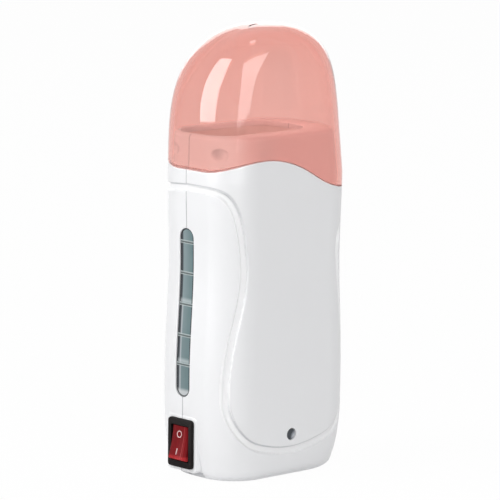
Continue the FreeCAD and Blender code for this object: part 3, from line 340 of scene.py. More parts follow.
class Look(Tree):
    """A material with one Principled shader."""

    def __init__(self, name, sockets):
        self.material = bpy.data.materials.new(name)
        self.material.use_nodes = True
        super().__init__(self.material.node_tree)
        self.shader = self.nodes["Principled BSDF"]
        self.fill(self.shader, sockets)

    def colour(self, value):
        """Link the base colour."""
        self.fill(self.shader, {"Base Color": value})

    def grain(self, scale, strength, distance):
        """Fine moulded texture."""
        bump = {"Height": self.noise(scale), "Strength": strength, "Distance": distance}
        self.fill(self.shader, {"Normal": self.node("ShaderNodeBump", {}, bump)})

    def mottled(self, base, other, scale):
        """Base colour that wanders between two tones."""
        self.colour(self.mixed(self.noise(scale), base, other))

    def rough(self, low, high, scale):
        """Roughness that wanders between two values."""
        self.fill(self.shader, {"Roughness": self.noise(scale) * (high - low) + low})

    def scatter(self, share, tone):
        """Painted glow, given off only where the surface is seen through the cap, in place of light that the
        cap scatters on to it.
        """
        glow = self.mixed(share * self.through(), (0, 0, 0), tone)
        self.fill(self.shader, {"Emission Color": glow, "Emission Strength": 1.0})


def placed(item, look, body, slot, *nodes):
    """Give a finished piece its material and tie it to the frame."""
    item.data.materials.clear()
    item.data.materials.append(look.material)
    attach(item, body)
    if nodes:
        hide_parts(*nodes)


def shares(count, start=(), end=()):
    """Shares from 0 to just under 1, with extra ones near either end."""
    return np.unique(np.concatenate([np.linspace(0, 1, count, endpoint=False), start, 1 - np.array(end)]))


# Points crowd near the parting line, and levels near the foot and the groove's bends.
NEAR = (0.008, 0.016, 0.026, 0.04, 0.06)
TRACK = np.concatenate([
    0 + shares(14, NEAR), 1 + shares(70), 2 + shares(50), 3 + shares(70), 4 + shares(14, (), NEAR),
    5 + shares(8, NEAR), 6 + shares(28), 7 + shares(26), 8 + shares(28), 9 + shares(8, (), NEAR),
])
rim = rim_ring(TRACK, 0.0)
neck_start = rim_ring(TRACK, NECK_INSET)
EDGE = 0.5
rings = [outline(FOOT_ROUND * (1 - math.cos(turn)), TRACK) for turn in np.linspace(0, math.pi / 2, 9)]
LOW_SHARE, HIGH_SHARE = 0.2, 0.78
side_shares = np.concatenate([
    np.linspace(0, LOW_SHARE, 72),
    np.linspace(LOW_SHARE, HIGH_SHARE, 92)[1:],
    np.linspace(HIGH_SHARE, 1, 84)[1:],
])
rings += [outline(FOOT_ROUND + share * (rim - EDGE - FOOT_ROUND), TRACK) for share in side_shares[1:]]
side_rows = len(rings)
for turn in np.linspace(0, math.pi / 2, 6)[1:]:
    rings.append(outline(rim - EDGE + EDGE * math.sin(turn), TRACK, EDGE * (1 - math.cos(turn))))
rings.append(outline(neck_start, TRACK, NECK_INSET))
neck_rows = len(rings)
neck_straight = NECK_TOP - NECK_ROUND - neck_start
for share in np.linspace(0, 1, 44)[1:]:
    rings.append(outline(neck_start + share * neck_straight, TRACK, NECK_INSET))
for turn in np.linspace(0, math.pi / 2, 9)[1:]:
    level = NECK_TOP - NECK_ROUND * (1 - math.sin(turn))
    rings.append(outline(level, TRACK, NECK_INSET + NECK_ROUND * (1 - math.cos(turn))))
rings = np.array(rings)
along_ring = np.roll(rings, -1, axis=1) - np.roll(rings, 1, axis=1)
outward = np.cross(along_ring, np.gradient(rings, axis=0))
outward /= np.maximum(np.linalg.norm(outward, axis=-1, keepdims=True), 1e-9)

# The groove runs down the left of the panel, under the lens and up the right, as (x, z).
side, waist, hip, bottom = SHOULDER_HALF, WAIST_HALF - 8.5, HIP_HALF - 3.4, LAMP_LEVEL - 7.2
REAR_FALL, REAR_RUN = 0.07, 12.0
down = [
    (-side - 4, GROOVE_LEFT), (-side + 1.4, GROOVE_LEFT - 2), (-side + 5.1, GROOVE_LEFT - 7.5),
    (-waist - 1.2, GROOVE_LEFT - 20), (-waist, 87), (-waist - 3.4, 67), (-hip + 0.9, 50), (-hip + 0.4, 40.5),
    (-hip + 1.2, 30), (-hip + 4.7, 22.5), (-hip + 10, bottom + 6), (-14.5, bottom + 2.3), (0, bottom + 0.3),
]
fall = GROOVE_LEFT - GROOVE_RIGHT
up = [(-x, z) for x, z in down[4:-1]]
exit_run = [(-x, z - fall) for x, z in down[:3]]
LINE_STEPS, END_STEPS = 4000, 200
groove_line = spline(down + up[::-1] + [(waist + 1.2, GROOVE_LEFT - 22)] + exit_run[::-1], LINE_STEPS)
tree = kdtree.KDTree(len(groove_line))
for index, (x, z) in enumerate(groove_line):
    tree.insert((x, 0, z), index)
tree.balance()
nearest = np.array([[tree.find((x, 0, z))[1] for x, y, z in row] for row in rings[:side_rows]])
gap = rings[:side_rows][..., (0, 2)] - groove_line[nearest]
STEEPEST = 0.3
steep = np.maximum(np.abs(outward[:side_rows, :, 1]), STEEPEST)
off_line = np.hypot(gap[..., 0] / steep, gap[..., 1])
left_end = np.interp(-side, groove_line[:END_STEPS, 0], groove_line[:END_STEPS, 1])
right_end = np.interp(side, groove_line[-END_STEPS:, 0], groove_line[-END_STEPS:, 1])
slant = (right_end - left_end) / (2 * side)
behind = np.clip(rings[:side_rows, :, 1] - PARTING, 0, REAR_RUN)
rear_line = left_end + slant * (rings[:side_rows, :, 0] + side) - REAR_FALL * behind
off_rear = np.abs(rings[:side_rows, :, 2] - rear_line)
off_line = np.where(TRACK < 5, off_line, off_rear)
depth = GROOVE_DEPTH * eased((GROOVE_HALF + GROOVE_EDGE - off_line) / (2 * GROOVE_EDGE))
at_side = (TRACK < 1) | (TRACK > 9) | ((TRACK > 4) & (TRACK < 6)) | (TRACK == 0)
seam = SEAM_DEPTH * np.exp(-(((rings[..., 1] - PARTING) / SEAM_HALF) ** 2)) * at_side
NECK_SEAM, EDGE_SEAM, GROOVE_SEAM = 0.6, 0.4, 0.15
seam[neck_rows:] *= NECK_SEAM
seam[side_rows:neck_rows] *= EDGE_SEAM
seam[:side_rows] = np.maximum(seam[:side_rows], depth + GROOVE_SEAM * (seam[:side_rows] > 0.1))
toward = np.array([math.cos(DIMPLE_TURN), math.sin(DIMPLE_TURN)])
dimples = []
for x_sign, y_sign in ((-1, -1), (1, -1), (-1, 1), (1, 1)):
    corner = FRONT_CORNER if y_sign < 0 else REAR_CORNER
    sideways = SHOULDER_HALF - corner + (corner - NECK_INSET) * toward[0]
    forward = HALF_DEPTH - corner + (corner - NECK_INSET) * toward[1]
    centre = np.array((x_sign * sideways, y_sign * forward, DIMPLE_LEVEL))
    across_way = np.array((x_sign * toward[1], -y_sign * toward[0], 0.0))
    dimples.append((centre, across_way))
    off = rings[neck_rows:] - centre
    spread = (off @ across_way / DIMPLE_SIZE[0]) ** 2 + (off[..., 2] / DIMPLE_SIZE[1]) ** 2
    near = np.linalg.norm(off, axis=-1) < DIMPLE_REACH
    seam[neck_rows:] += DIMPLE_DEPTH * np.clip(1 - spread, 0, 1) ** 0.5 * near
rings -= outward * seam[..., None]
case = lofted("case_form", rings)

COARSE = np.concatenate([piece + np.linspace(0, 1, 10, endpoint=False) for piece in range(10)])


def form_block(name, low, high, inset, rows=24):
    """Solid of the form between two levels."""
    return lofted(name, [outline(level, COARSE, inset) for level in np.linspace(low, high, rows)])


WELL_CENTRE, WELL_SIZE, WELL_CORNER = (-4.8, 2.6), (52.0, 32.0), 11.5
LEDGE_LEVEL, CASE_FLOOR, MOUTH_ROUND = 112.0, 3.0, 0.4
WINDOW_LEVEL, WINDOW_SLOT, WINDOW_CORNER, WINDOW_GAP = 71.0, (8.8, 72.0), 4.2, 0.2
SWITCH_OPENING, INLET_OPENING, LAMP_OPENING = (13.0, 19.0), (18.8, 12.2), 2.6
SCREW_PLACES, SCREW_SINK = ((28.8, 114.0), (28.8, 12.0), (-8.0, 24.5)), 3.0
SWITCH_LEVEL, PAD_X = 15.2, -37.3
window_centre, switch_centre = (PARTING, WINDOW_LEVEL), (PARTING, SWITCH_LEVEL)
BEZEL_SIZE, BEZEL_CORNER, BEZEL_THICKNESS = (15.0, 21.0), 1.5, 1.4
BOSS_MARGIN = 1.6
INLET_X, INLET_LEVEL, INLET_SIZE = 12.0, 13.5, (15.6, 9.0)
pad_size = (BEZEL_SIZE[0] + 2 * BOSS_MARGIN, BEZEL_SIZE[1] + 2 * BOSS_MARGIN)
switch_pad = rounded_bar(
    "switch_pad", "X", switch_centre, pad_size, 2.0,
    [(PAD_X, 0.45), (PAD_X + 0.13, 0.13), (PAD_X + 0.45, 0.0), (PAD_X + 6, 0.0)],
)
INLET_MARGIN = 4.5
inlet_pad_size = (INLET_SIZE[0] + 2 * INLET_MARGIN, INLET_SIZE[1] + 2 * INLET_MARGIN)
inlet_pad = rounded_bar(
    "inlet_pad", "Y", (INLET_X, INLET_LEVEL), inlet_pad_size, 0.6,
    [(HALF_DEPTH - 5, 0.0), (HALF_DEPTH - 0.4, 0.0), (HALF_DEPTH - 0.12, 0.12), (HALF_DEPTH, 0.4)],
)
carve(case, [switch_pad, inlet_pad], "UNION")
carve(case, [
    form_block("hollow", CASE_FLOOR, LEDGE_LEVEL, WALL),
    form_block("bore", LEDGE_LEVEL - 1, NECK_TOP - NECK_PLATE, BORE_INSET),
    rounded_bar("mouth", "Z", WELL_CENTRE, WELL_SIZE, WELL_CORNER, [
        (142.0, 0), (NECK_TOP - MOUTH_ROUND, 0), (NECK_TOP - 0.1, -0.1), (NECK_TOP, -MOUTH_ROUND),
        (150.0, -MOUTH_ROUND),
    ], 14),
    rounded_bar("window_slot", "X", window_centre, WINDOW_SLOT, WINDOW_CORNER, [(-45.0, 0), (-31.0, 0)], 12),
    rounded_bar("switch_opening", "X", switch_centre, SWITCH_OPENING, 0.5, [(-42.0, 0), (-30.0, 0)]),
    rounded_bar("inlet_opening", "Y", (INLET_X, INLET_LEVEL), INLET_OPENING, 0.8, [(16.0, 0), (30.0, 0)]),
    turned("lamp_opening", "Y", (0, LAMP_LEVEL), [(-30.0, LAMP_OPENING), (-20.0, LAMP_OPENING)]),
] + [
    turned(f"screw_sink_{index}", "Y", place, [(9.0, SCREW_SINK), (30.0, SCREW_SINK)])
    for index, place in enumerate(SCREW_PLACES)
])


def points_of(item):
    """Points of a mesh in millimetres."""
    points = np.zeros(len(item.data.vertices) * 3)
    item.data.vertices.foreach_get("co", points)
    return points.reshape(-1, 3) / MM


def store(item, name, values):
    """Keep a value at each point of a mesh."""
    item.data.attributes.new(name, "FLOAT", "POINT").data.foreach_set("value", values)


def groove_shade(above):
    """Painted shade under the upper wall of the groove, from the height over the groove's line."""
    return math.exp(-(((above - GROOVE_HALF) / PAINTED_SHADE_HALF) ** 2))


def mark_points(item):
    """Store at each point its painted shade, whether it lies in the groove, and whether it stands inside the
    cap.
    """
    points = points_of(item)
    heading = np.gradient(groove_line, axis=0)
    heading /= np.linalg.norm(heading, axis=1, keepdims=True)
    painted_shade, hollow = np.zeros(len(points)), np.zeros(len(points))
    for index, (x, y, z) in enumerate(points):
        # Painted shade under the groove's upper wall; on the front it is strongest where the groove runs
        # level, so that the wall faces down.
        if z < neck_low and y < PARTING:
            near, nearest, _ = tree.find((x, 0, z))
            along = heading[nearest]
            above = (z - near.z) * along[0] - (x - near.x) * along[1]
            painted_shade[index] = groove_shade(above) * max(along[0], 0.0) ** SHADE_POWER
            hollow[index] = math.hypot(x - near.x, z - near.z) < GROOVE_HALF
        elif z < neck_low:
            above = z - left_end - slant * (x + side) + REAR_FALL * min(y - PARTING, REAR_RUN)
            painted_shade[index] = groove_shade(above)
            hollow[index] = abs(above) < GROOVE_HALF
        # Painted shade: darker toward the foot, and darker still on the foot under the switch pad's
        # overhang.
        painted_shade[index] = max(painted_shade[index], FOOT_SHADE * float(eased(1 - z / FOOT_SHADE_LEVEL)))
        if z < FOOT_ROUND + 0.2 and x < PAD_SHADE_X and abs(y - PARTING) < pad_size[0] / 2 + 0.5:
            painted_shade[index] = PAD_SHADE
    # Painted shade on the half of each neck dimple that faces away from the light.
    for centre, across_way in dimples:
        off = points - centre
        across = off @ across_way / DIMPLE_SIZE[0]
        inside = np.clip(1 - across**2 - (off[:, 2] / DIMPLE_SIZE[1]) ** 2, 0, 1) ** 0.4
        inside *= np.linalg.norm(off, axis=1) < DIMPLE_REACH
        painted_shade = np.maximum(painted_shade, inside * np.clip(0.55 + across * 0.9, 0, 1) * DIMPLE_SHADE)
    in_cap = np.zeros(len(points))
    for index in np.flatnonzero(points[:, 2] > GLOW_LOW):
        _, nearest, _ = ring_tree.find(points[index])
        in_cap[index] = nearest >= neck_first
    store(item, "in_cap", in_cap)
    store(item, "hollow", hollow)
    store(item, "painted_shade", painted_shade)


neck_low = float(rim.max()) + 1
# Sizes and strengths of the painted shade along the groove, at the foot and under the switch pad.
PAINTED_SHADE_HALF, SHADE_POWER = 0.26, 0.7
FOOT_SHADE, FOOT_SHADE_LEVEL = 0.28, 5.0
PAD_SHADE, PAD_SHADE_X = 0.75, -30.0
# Painted glow: light given off by the neck and the well where they are seen through the cap, in place of
# light that the cap has scattered and tinted; it is paler toward the left, where it is a painted sheen.
GLOW_LOW, RIGHT_GLOW, WELL_GLOW = 118.0, (0.10, 0.032, 0.027), (0.20, 0.09, 0.07)
MIDDLE_GLOW, LEFT_GLOW = (0.05, 0.03, 0.028), (0.07, 0.14, 0.14)
ROWS_BELOW = 60
upper_rings = rings[side_rows - ROWS_BELOW:, ::2]
neck_first = (neck_rows - 1 - side_rows + ROWS_BELOW) * upper_rings.shape[1]
ring_tree = kdtree.KDTree(upper_rings.shape[0] * upper_rings.shape[1])
for index, point in enumerate(upper_rings.reshape(-1, 3)):
    ring_tree.insert(point, index)
ring_tree.balance()
case_look = Look("case_plastic", {"IOR": 1.49, "Coat Weight": 0.15, "Coat Roughness": 0.08})
shell_tone = case_look.mixed(case_look.noise(35.0), (0.868, 0.871, 0.884), (0.882, 0.886, 0.899))
# Painted shade darkens the shells along the groove's upper wall, at the foot, under the switch pad and in
# one half of each dimple.
painted_shade = case_look.stored("painted_shade")
shell_tone = case_look.mixed(painted_shade * 0.8, shell_tone, (0.30, 0.31, 0.34))
in_groove = case_look.stored("hollow")
# Painted highlight: the floor of the groove is lighter, except where the painted shade lies.
shell_tone = case_look.mixed(in_groove * (1 - painted_shade) * 0.7, shell_tone, (0.97, 0.97, 0.975))
x_axis, y_axis, _ = case_look.axes()
joint = (y_axis - PARTING).math("ABSOLUTE").between(0.26, 0.08)
joint = joint * x_axis.math("ABSOLUTE").between(18.0, 20.0) * (1 - in_groove)
case_look.colour(case_look.mixed(joint * 0.75, shell_tone, (0.24, 0.24, 0.26)))
# Painted glow on the neck inside the cap, weaker where the painted shade lies.
glow = case_look.mixed(x_axis.between(-4.0, -18.0), RIGHT_GLOW, MIDDLE_GLOW)
glow = case_look.mixed(x_axis.between(-22.0, -32.0), glow, LEFT_GLOW)
case_look.scatter(case_look.stored("in_cap") * (1 - painted_shade), glow)
case_look.rough(0.30, 0.36, 60.0)
case_look.grain(2200.0, 0.05, 0.00004)
HALF_CENTRE, HALF_SIZE, HALF_REACH = (0, 90), (120, 200), 60.0
rear_half = rounded_bar("rear_half", "Y", HALF_CENTRE, HALF_SIZE, 1, [(PARTING, 0), (HALF_REACH, 0)])
rear_case = carve(copied(case, "rear_case"), [rear_half], "INTERSECT")
front_half = rounded_bar("front_half", "Y", HALF_CENTRE, HALF_SIZE, 1, [(-HALF_REACH, 0), (PARTING, 0)])
carve(case, [front_half], "INTERSECT")
case.name = "front_case"
for shell, node in ((case, "front_shell"), (rear_case, "rear_shell")):
    mark_points(shell)
    placed(smoothed(shell), case_look, "case", "case_plastic", node)

# ---------------------------------------------------------------- cap
# The lift-off cap is one see-through moulding in a rose tint, 2 mm thick, open below and vented at its top.
# It slides over the neck and stands on the case's rim line.
CAP_EDGE, STANDING_GAP = 0.06, 0.04
VENT_PLACE, VENT_SIZE, VENT_CORNER = (-7.2, -6.0), (4.4, 1.2), 0.3
TRACK_COUNTS = (8, 34, 30, 34, 8, 6, 30, 26, 30, 6)
CAP_TRACK = np.concatenate([
    piece + np.linspace(0, 1, count, endpoint=False) for piece, count in enumerate(TRACK_COUNTS)
])


def crown_level(share, inset):
    """Level at which the crown has shrunk to a share of its width."""
    high = TOTAL_HEIGHT - SHOULDER_LEVEL - inset
    return SHOULDER_LEVEL + high * (1 - share ** CROWN_SIDE[1]) ** (1 / CROWN_SIDE[0])


widths = np.cos(np.linspace(0.18, math.pi / 2 - 0.02, 90))


def cap_wall(edge, inset):
    """Rings of one face of the cap, from just over its lower edge to the middle of its crown."""
    join = crown_level(widths[0], inset)
    wall = [
        outline(edge + CAP_EDGE + share * (join - edge - CAP_EDGE), CAP_TRACK, inset)
        for share in np.linspace(0, 1, 50)[1:]
    ]
    return wall + [outline(crown_level(share, inset), CAP_TRACK, inset) for share in widths[1:]]


outer_edge, inner_edge = (rim_ring(CAP_TRACK, inset, STANDING_GAP) for inset in (0.0, WALL))
cap_rings = cap_wall(inner_edge, WALL)[::-1] + [outline(inner_edge, CAP_TRACK, WALL - CAP_EDGE)]
for turn in np.linspace(0, math.pi / 2, 5):
    level = outer_edge + CAP_EDGE * (1 - math.cos(turn))
    cap_rings.append(outline(level, CAP_TRACK, CAP_EDGE * (1 - math.sin(turn))))
cap = lofted("cap_dome", cap_rings + cap_wall(outer_edge, 0.0))
carve(cap, [rounded_bar("vent", "Z", VENT_PLACE, VENT_SIZE, VENT_CORNER, [(185.0, 0), (195.0, 0)])])
points = points_of(cap)
above_rim = points[:, 2] - np.interp(points[:, 0], RIM_LINE[:, 0], RIM_LINE[:, 1])
LOWER_FACE = 0.12
store(cap, "lower_face", (above_rim < LOWER_FACE).astype(float))
cap_look = Look("cap_tint", {"IOR": 1.45, "Transmission Weight": 0.99})
cap_x, cap_y, cap_z = cap_look.axes()
# Painted shade: the cap is dark round the vent slot, where its walls are seen edge-on.
painted_vent_shade = (cap_x - VENT_PLACE[0]).math("ABSOLUTE").between(2.6, 2.2) * cap_z.between(180.0, 184.0)
painted_vent_shade = painted_vent_shade * (cap_y - VENT_PLACE[1]).math("ABSOLUTE").between(1.0, 0.7)
tint = cap_look.mixed(cap_look.noise(25.0), (0.975, 0.872, 0.855), (0.983, 0.884, 0.867))
cap_look.colour(cap_look.mixed(painted_vent_shade, tint, (0.12, 0.10, 0.10)))
roughness = cap_look.noise(40.0) * 0.03 + cap_look.stored("lower_face") * 0.9 + 0.03
cap_look.fill(cap_look.shader, {"Roughness": roughness})
DEPTH_TONE, DEPTH_DENSITY = (0.845, 0.176, 0.033, 1), 180.0
depth_tint = cap_look.node("ShaderNodeVolumeAbsorption", {}, {"Color": DEPTH_TONE, "Density": DEPTH_DENSITY})
cap_look.fill(cap_look.nodes["Material Output"], {"Volume": depth_tint})
placed(smoothed(cap), cap_look, "cap", "cap_tint", "cap")

# ---------------------------------------------------------------- level window
# A long smoke-grey window in the left side shows how much wax is left. It follows the form of the case,
# half a millimetre below its surface, and carries five graduation ribs.
WINDOW_INSET, WINDOW_BACK = 0.5, 2.9
window = form_block("window", 28.0, 115.0, WINDOW_INSET, 40)
window_size = (WINDOW_SLOT[0] - WINDOW_GAP, WINDOW_SLOT[1] - WINDOW_GAP)
carve(window, [
    rounded_bar(
        "window_bar", "X", window_centre, window_size, WINDOW_CORNER - WINDOW_GAP / 2,
        [(-45.0, 0), (-20.0, 0)], 14,
    )
], "INTERSECT")
carve(window, [form_block("window_back", 20.0, 120.0, WINDOW_BACK, 40)])
MARKS = (101.0, 87.7, 74.5, 61.3, 48.9)
RIB_LENGTH, RIB_RADIUS, RIB_SINK = 7.6, 0.4, 0.05
rib_places = [(-float(form(np.array(level), WINDOW_INSET)[0]) + RIB_SINK, PARTING, level) for level in MARKS]
ribs = new_piece("ribs", rib_places, [])
rib_group = bpy.data.node_groups.new("graduation_ribs", "GeometryNodeTree")
rib_group.interface.new_socket("Geometry", in_out="INPUT", socket_type="NodeSocketGeometry")
rib_group.interface.new_socket("Geometry", in_out="OUTPUT", socket_type="NodeSocketGeometry")
rib_inputs = {
    name: rib_group.interface.new_socket(name, in_out="INPUT", socket_type="NodeSocketFloat").identifier
    for name in ("Length", "Radius")
}
rib_tree = Tree(rib_group)
given = rib_tree.nodes.new("NodeGroupInput").outputs
places, length, radius = (Value(rib_tree, given[name]) for name in ("Geometry", "Length", "Radius"))
half_length = length * 0.5
ends = [rib_tree.node("ShaderNodeCombineXYZ", {}, {"Y": half_length * sign}) for sign in (-1.0, 1.0)]
spine = rib_tree.node("GeometryNodeCurvePrimitiveLine", {}, {"Start": ends[0], "End": ends[1]})
circle = rib_tree.node("GeometryNodeCurvePrimitiveCircle", {}, {"Resolution": 16, "Radius": radius})
sweep = {"Curve": spine, "Profile Curve": circle, "Fill Caps": True}
rib = rib_tree.node("GeometryNodeCurveToMesh", {}, sweep)
row = rib_tree.node("GeometryNodeInstanceOnPoints", {}, {"Points": places, "Instance": rib})
plain = rib_tree.node("GeometryNodeRealizeInstances", {}, {"Geometry": row})
window_look = Look("window_smoke", {"Roughness": 0.12, "IOR": 1.5, "Specular IOR Level": 0.3})
coated = rib_tree.node("GeometryNodeSetMaterial", {}, {"Geometry": plain, "Material": window_look.material})
rib_tree.node("NodeGroupOutput", {}, {"Geometry": coated}, None)
repeat = ribs.modifiers.new("repeat", "NODES")
repeat.node_group = rib_group
repeat[rib_inputs["Length"]], repeat[rib_inputs["Radius"]] = RIB_LENGTH * MM, RIB_RADIUS * MM
rib_mesh = bpy.data.meshes.new_from_object(ribs.evaluated_get(bpy.context.evaluated_depsgraph_get()))
ribs.modifiers.clear()
ribs.data = rib_mesh
carve(window, [ribs], "UNION")
_, across, up_axis = window_look.axes()
across = across - PARTING
STRAIGHT_HALF = 31.8
past_end = ((up_axis - WINDOW_LEVEL).math("ABSOLUTE") - STRAIGHT_HALF).math("MAXIMUM", 0.0)
from_middle = (across * across + past_end * past_end).math("SQRT")
tone = window_look.mixed(across.between(-3.5, 3.5), (0.10, 0.18, 0.19), (0.24, 0.31, 0.325))
tone = window_look.mixed(up_axis.between(80.0, 52.0) * 0.6, tone, (0.10, 0.17, 0.18))
tone = window_look.mixed(window_look.noise(90.0) * 0.5, tone, (0.28, 0.35, 0.37))
# Painted highlight: a pale strip near the rear edge of the window's lower half.
low_half = up_axis.between(76.0, 73.5)
painted_light_strip = across.between(1.5, 2.0) * across.between(3.3, 3.0) * low_half
tone = window_look.mixed(painted_light_strip * 0.6, tone, (0.52, 0.54, 0.57))
# Painted shade: a dark band along the window's rear edge.
tone = window_look.mixed(across.between(2.4, 2.9) * 0.92, tone, (0.03, 0.035, 0.045))
# Painted highlights: glints just above two of the graduation ribs.
for level in (MARKS[2], MARKS[4]):
    glint = up_axis.between(level + 0.6, level + 1.1) * up_axis.between(level + 3.2, level + 1.3)
    tone = window_look.mixed(glint * 0.4, tone, (0.75, 0.80, 0.82))
# Painted highlight: the lower end of the window is lighter.
tone = window_look.mixed(up_axis.between(39.0, 37.0) * 0.7, tone, (0.72, 0.73, 0.74))
# Painted shade: a dark outline round the window, and a dark band along its front edge.
tone = window_look.mixed(from_middle.between(3.4, 3.7) * 0.92, tone, (0.03, 0.035, 0.04))
tone = window_look.mixed(across.between(-3.05, -3.35) * 0.8, tone, (0.05, 0.06, 0.065))
# Painted highlight and shade: each rib shows two pale lines with a dark line between them.
for level in MARKS:
    offset = (up_axis - level).math("ABSOLUTE")
    tone = window_look.mixed(offset.between(0.85, 0.65) * 0.7, tone, (0.52, 0.58, 0.58))
    tone = window_look.mixed(offset.between(0.36, 0.2) * 0.85, tone, (0.06, 0.08, 0.08))
window_look.colour(tone)
placed(smoothed(window), window_look, "case", "window_smoke", "level_window")

# ---------------------------------------------------------------- rocker switch
# A black panel switch snaps into the raised pad on the left side. Its red rocker tips about a level axis.
# The O end is pressed in at rest.
BARREL_SIZE, BARREL_DEPTH, ROOM_SIZE, ROOM_DEPTH = (12.8, 18.8), 13.0, (11.0, 15.54), 11.8
BEZEL_ROUND = 0.3
bezel_front = PAD_X - BEZEL_THICKNESS
bezel = rounded_bar("bezel", "X", switch_centre, BEZEL_SIZE, BEZEL_CORNER, [
    (bezel_front, BEZEL_ROUND), (bezel_front + 0.09, 0.09), (bezel_front + BEZEL_ROUND, 0.0), (PAD_X, 0.0),
])
barrel_run = [(PAD_X - 0.2, 0), (PAD_X + BARREL_DEPTH, 0)]
room_run = [(PAD_X - 3, 0), (PAD_X + ROOM_DEPTH, 0)]
carve(bezel, [rounded_bar("barrel", "X", switch_centre, BARREL_SIZE, 0.5, barrel_run)], "UNION")
carve(bezel, [rounded_bar("room", "X", switch_centre, ROOM_SIZE, 0.4, room_run)])
bezel_look = Look("switch_black", {"IOR": 1.45, "Specular IOR Level": 0.06})
bezel_look.mottled((0.010, 0.008, 0.008), (0.016, 0.013, 0.013), 120.0)
bezel_look.rough(0.45, 0.55, 150.0)
bezel_look.grain(3000.0, 0.1, 0.00005)
placed(smoothed(bezel), bezel_look, "case", "switch_black", "switch_housing")

ROCKER_HALF, ROCKER_RISE, ROCKER_DIP, ROCKER_BACK, ROCKER_REST = 7.0, 2.6, 0.5, 3.0, 12.0
# The rocker's sections across its width, as (place, how far the front is cut back).
ROCKER_SECTIONS = (
    (-5.2, 1.3), (-5.1, 1.0), (-4.3, 0.12), (-4.1, 0.0), (4.1, 0.0), (4.3, 0.12), (5.1, 1.0), (5.2, 1.3),
)
reach = math.hypot(ROCKER_HALF, ROCKER_RISE)
lip = math.asin(ROCKER_RISE / reach)
back = math.asin(ROCKER_BACK / reach)


def rocker_profile(side_cut):
    """Side view of the rocker, as (out, up) pairs round its pivot, with its front cut back."""
    face = np.linspace(1, -1, 25)
    front = [(-ROCKER_RISE + ROCKER_DIP * (1 - s * s) + side_cut, s * ROCKER_HALF) for s in face]
    low = [(-reach * math.sin(a), -reach * math.cos(a)) for a in np.linspace(lip, -back, 10)]
    high = [(-reach * math.sin(a), reach * math.cos(a)) for a in np.linspace(-back, lip, 10)]
    shrink = 1 - 0.02 * side_cut
    ends = [(x + side_cut * max(0, -x) / ROCKER_RISE, z * shrink) for x, z in low[1:] + high[:-1]]
    return np.array(front + ends)


rings = []
for place, side_cut in ROCKER_SECTIONS:
    flat = rocker_profile(side_cut)
    rings.append(np.stack([flat[:, 0], np.full(len(flat), place), flat[:, 1]], axis=-1))
tilt = Matrix.Rotation(math.radians(ROCKER_REST), 3, "Y")
pivot = np.array([PAD_X, PARTING, SWITCH_LEVEL])
rocker_rings = np.array(rings) @ np.array(tilt).T + pivot
rocker = lofted("rocker_cap", rocker_rings[::-1])
rocker_look = Look("rocker_red", {"Roughness": 0.35, "IOR": 1.45, "Specular IOR Level": 0.04})
_, rocker_across, rocker_up = rocker_look.axes()
from_middle = rocker_across - PARTING
FACET_EDGE = -2.9
# Painted light: a band along the rocker's front side is a lighter red, with a painted highlight at its edge.
painted_lit_facet = from_middle.between(FACET_EDGE, FACET_EDGE - 0.2) * from_middle.between(-4.9, -4.6)
painted_edge_highlight = (from_middle - FACET_EDGE).math("ABSOLUTE").between(0.22, 0.08)
# Painted glow: the rocker's lower end is a lighter red.
foot_glow = rocker_up.between(10.6, 9.4)
red = rocker_look.mixed(rocker_look.noise(90.0), (0.165, 0.006, 0.009), (0.20, 0.008, 0.011))
red = rocker_look.mixed(painted_lit_facet * 0.4, red, (0.26, 0.012, 0.016))
red = rocker_look.mixed(painted_edge_highlight * 0.45, red, (0.55, 0.09, 0.09))
rocker_look.colour(rocker_look.mixed(foot_glow * 0.7, red, (0.50, 0.035, 0.04)))
placed(smoothed(rocker), rocker_look, "rocker", "rocker_red", "switch_rocker")

# ---------------------------------------------------------------- switch marks
# The O and I marks are pale inlays in the rocker's dished face and move with it. They stand a few hundredths
# of a millimetre proud of it.
RING_HEIGHT, RING_OUTER, RING_INNER, RING_STEPS = 3.5, 1.5, 1.16, 48
BAR_HEIGHT, BAR_SIZE = -3.9, (0.4, 2.6)
MARK_BACK, MARK_FRONT = -0.3, 0.03


def on_face(points, height):
    """Points given as (out of the face, across, up) set on the dished face at a height from the pivot."""
    up_face = points[:, 2] + height
    dish = -ROCKER_RISE + ROCKER_DIP * (1 - (up_face / ROCKER_HALF) ** 2)
    local = np.stack([dish - points[:, 0], points[:, 1], up_face], axis=-1)
    return local @ np.array(tilt).T + pivot


turn = np.linspace(0, 2 * math.pi, RING_STEPS + 1)[:-1]
section = (
    (MARK_BACK, RING_INNER), (MARK_BACK, RING_OUTER), (MARK_FRONT, RING_OUTER), (MARK_FRONT, RING_INNER),
)
ring_stack = []
for out, radius in section:
    circle = np.stack([np.full(RING_STEPS, out), radius * np.cos(turn), radius * np.sin(turn)], axis=-1)
    ring_stack.append(on_face(circle, RING_HEIGHT))
ids = np.arange(len(section) * RING_STEPS).reshape(len(section), RING_STEPS)
next_row, next_point = np.roll(ids, -1, axis=0), np.roll(ids, -1, axis=1)
next_both = np.roll(next_row, -1, axis=1)
faces = np.stack([ids, next_point, next_both, next_row], axis=-1).reshape(-1, 4).tolist()
mark_ring = new_piece("mark_ring", np.concatenate(ring_stack), faces)
half_bar = np.array(BAR_SIZE) / 2
corners = np.array([(-1, -1), (1, -1), (1, 1), (-1, 1)]) * half_bar
mark_bar = lofted("mark_bar", [
    on_face(np.concatenate([np.full((4, 1), out), corners], axis=1), BAR_HEIGHT)
    for out in (MARK_BACK, MARK_FRONT)
])
mark_look = Look("mark_white", {"Roughness": 0.4})
mark_look.mottled((0.72, 0.50, 0.50), (0.78, 0.56, 0.56), 300.0)
for mark in (mark_ring, mark_bar):
    placed(smoothed(mark), mark_look, "rocker", "rocker_red")

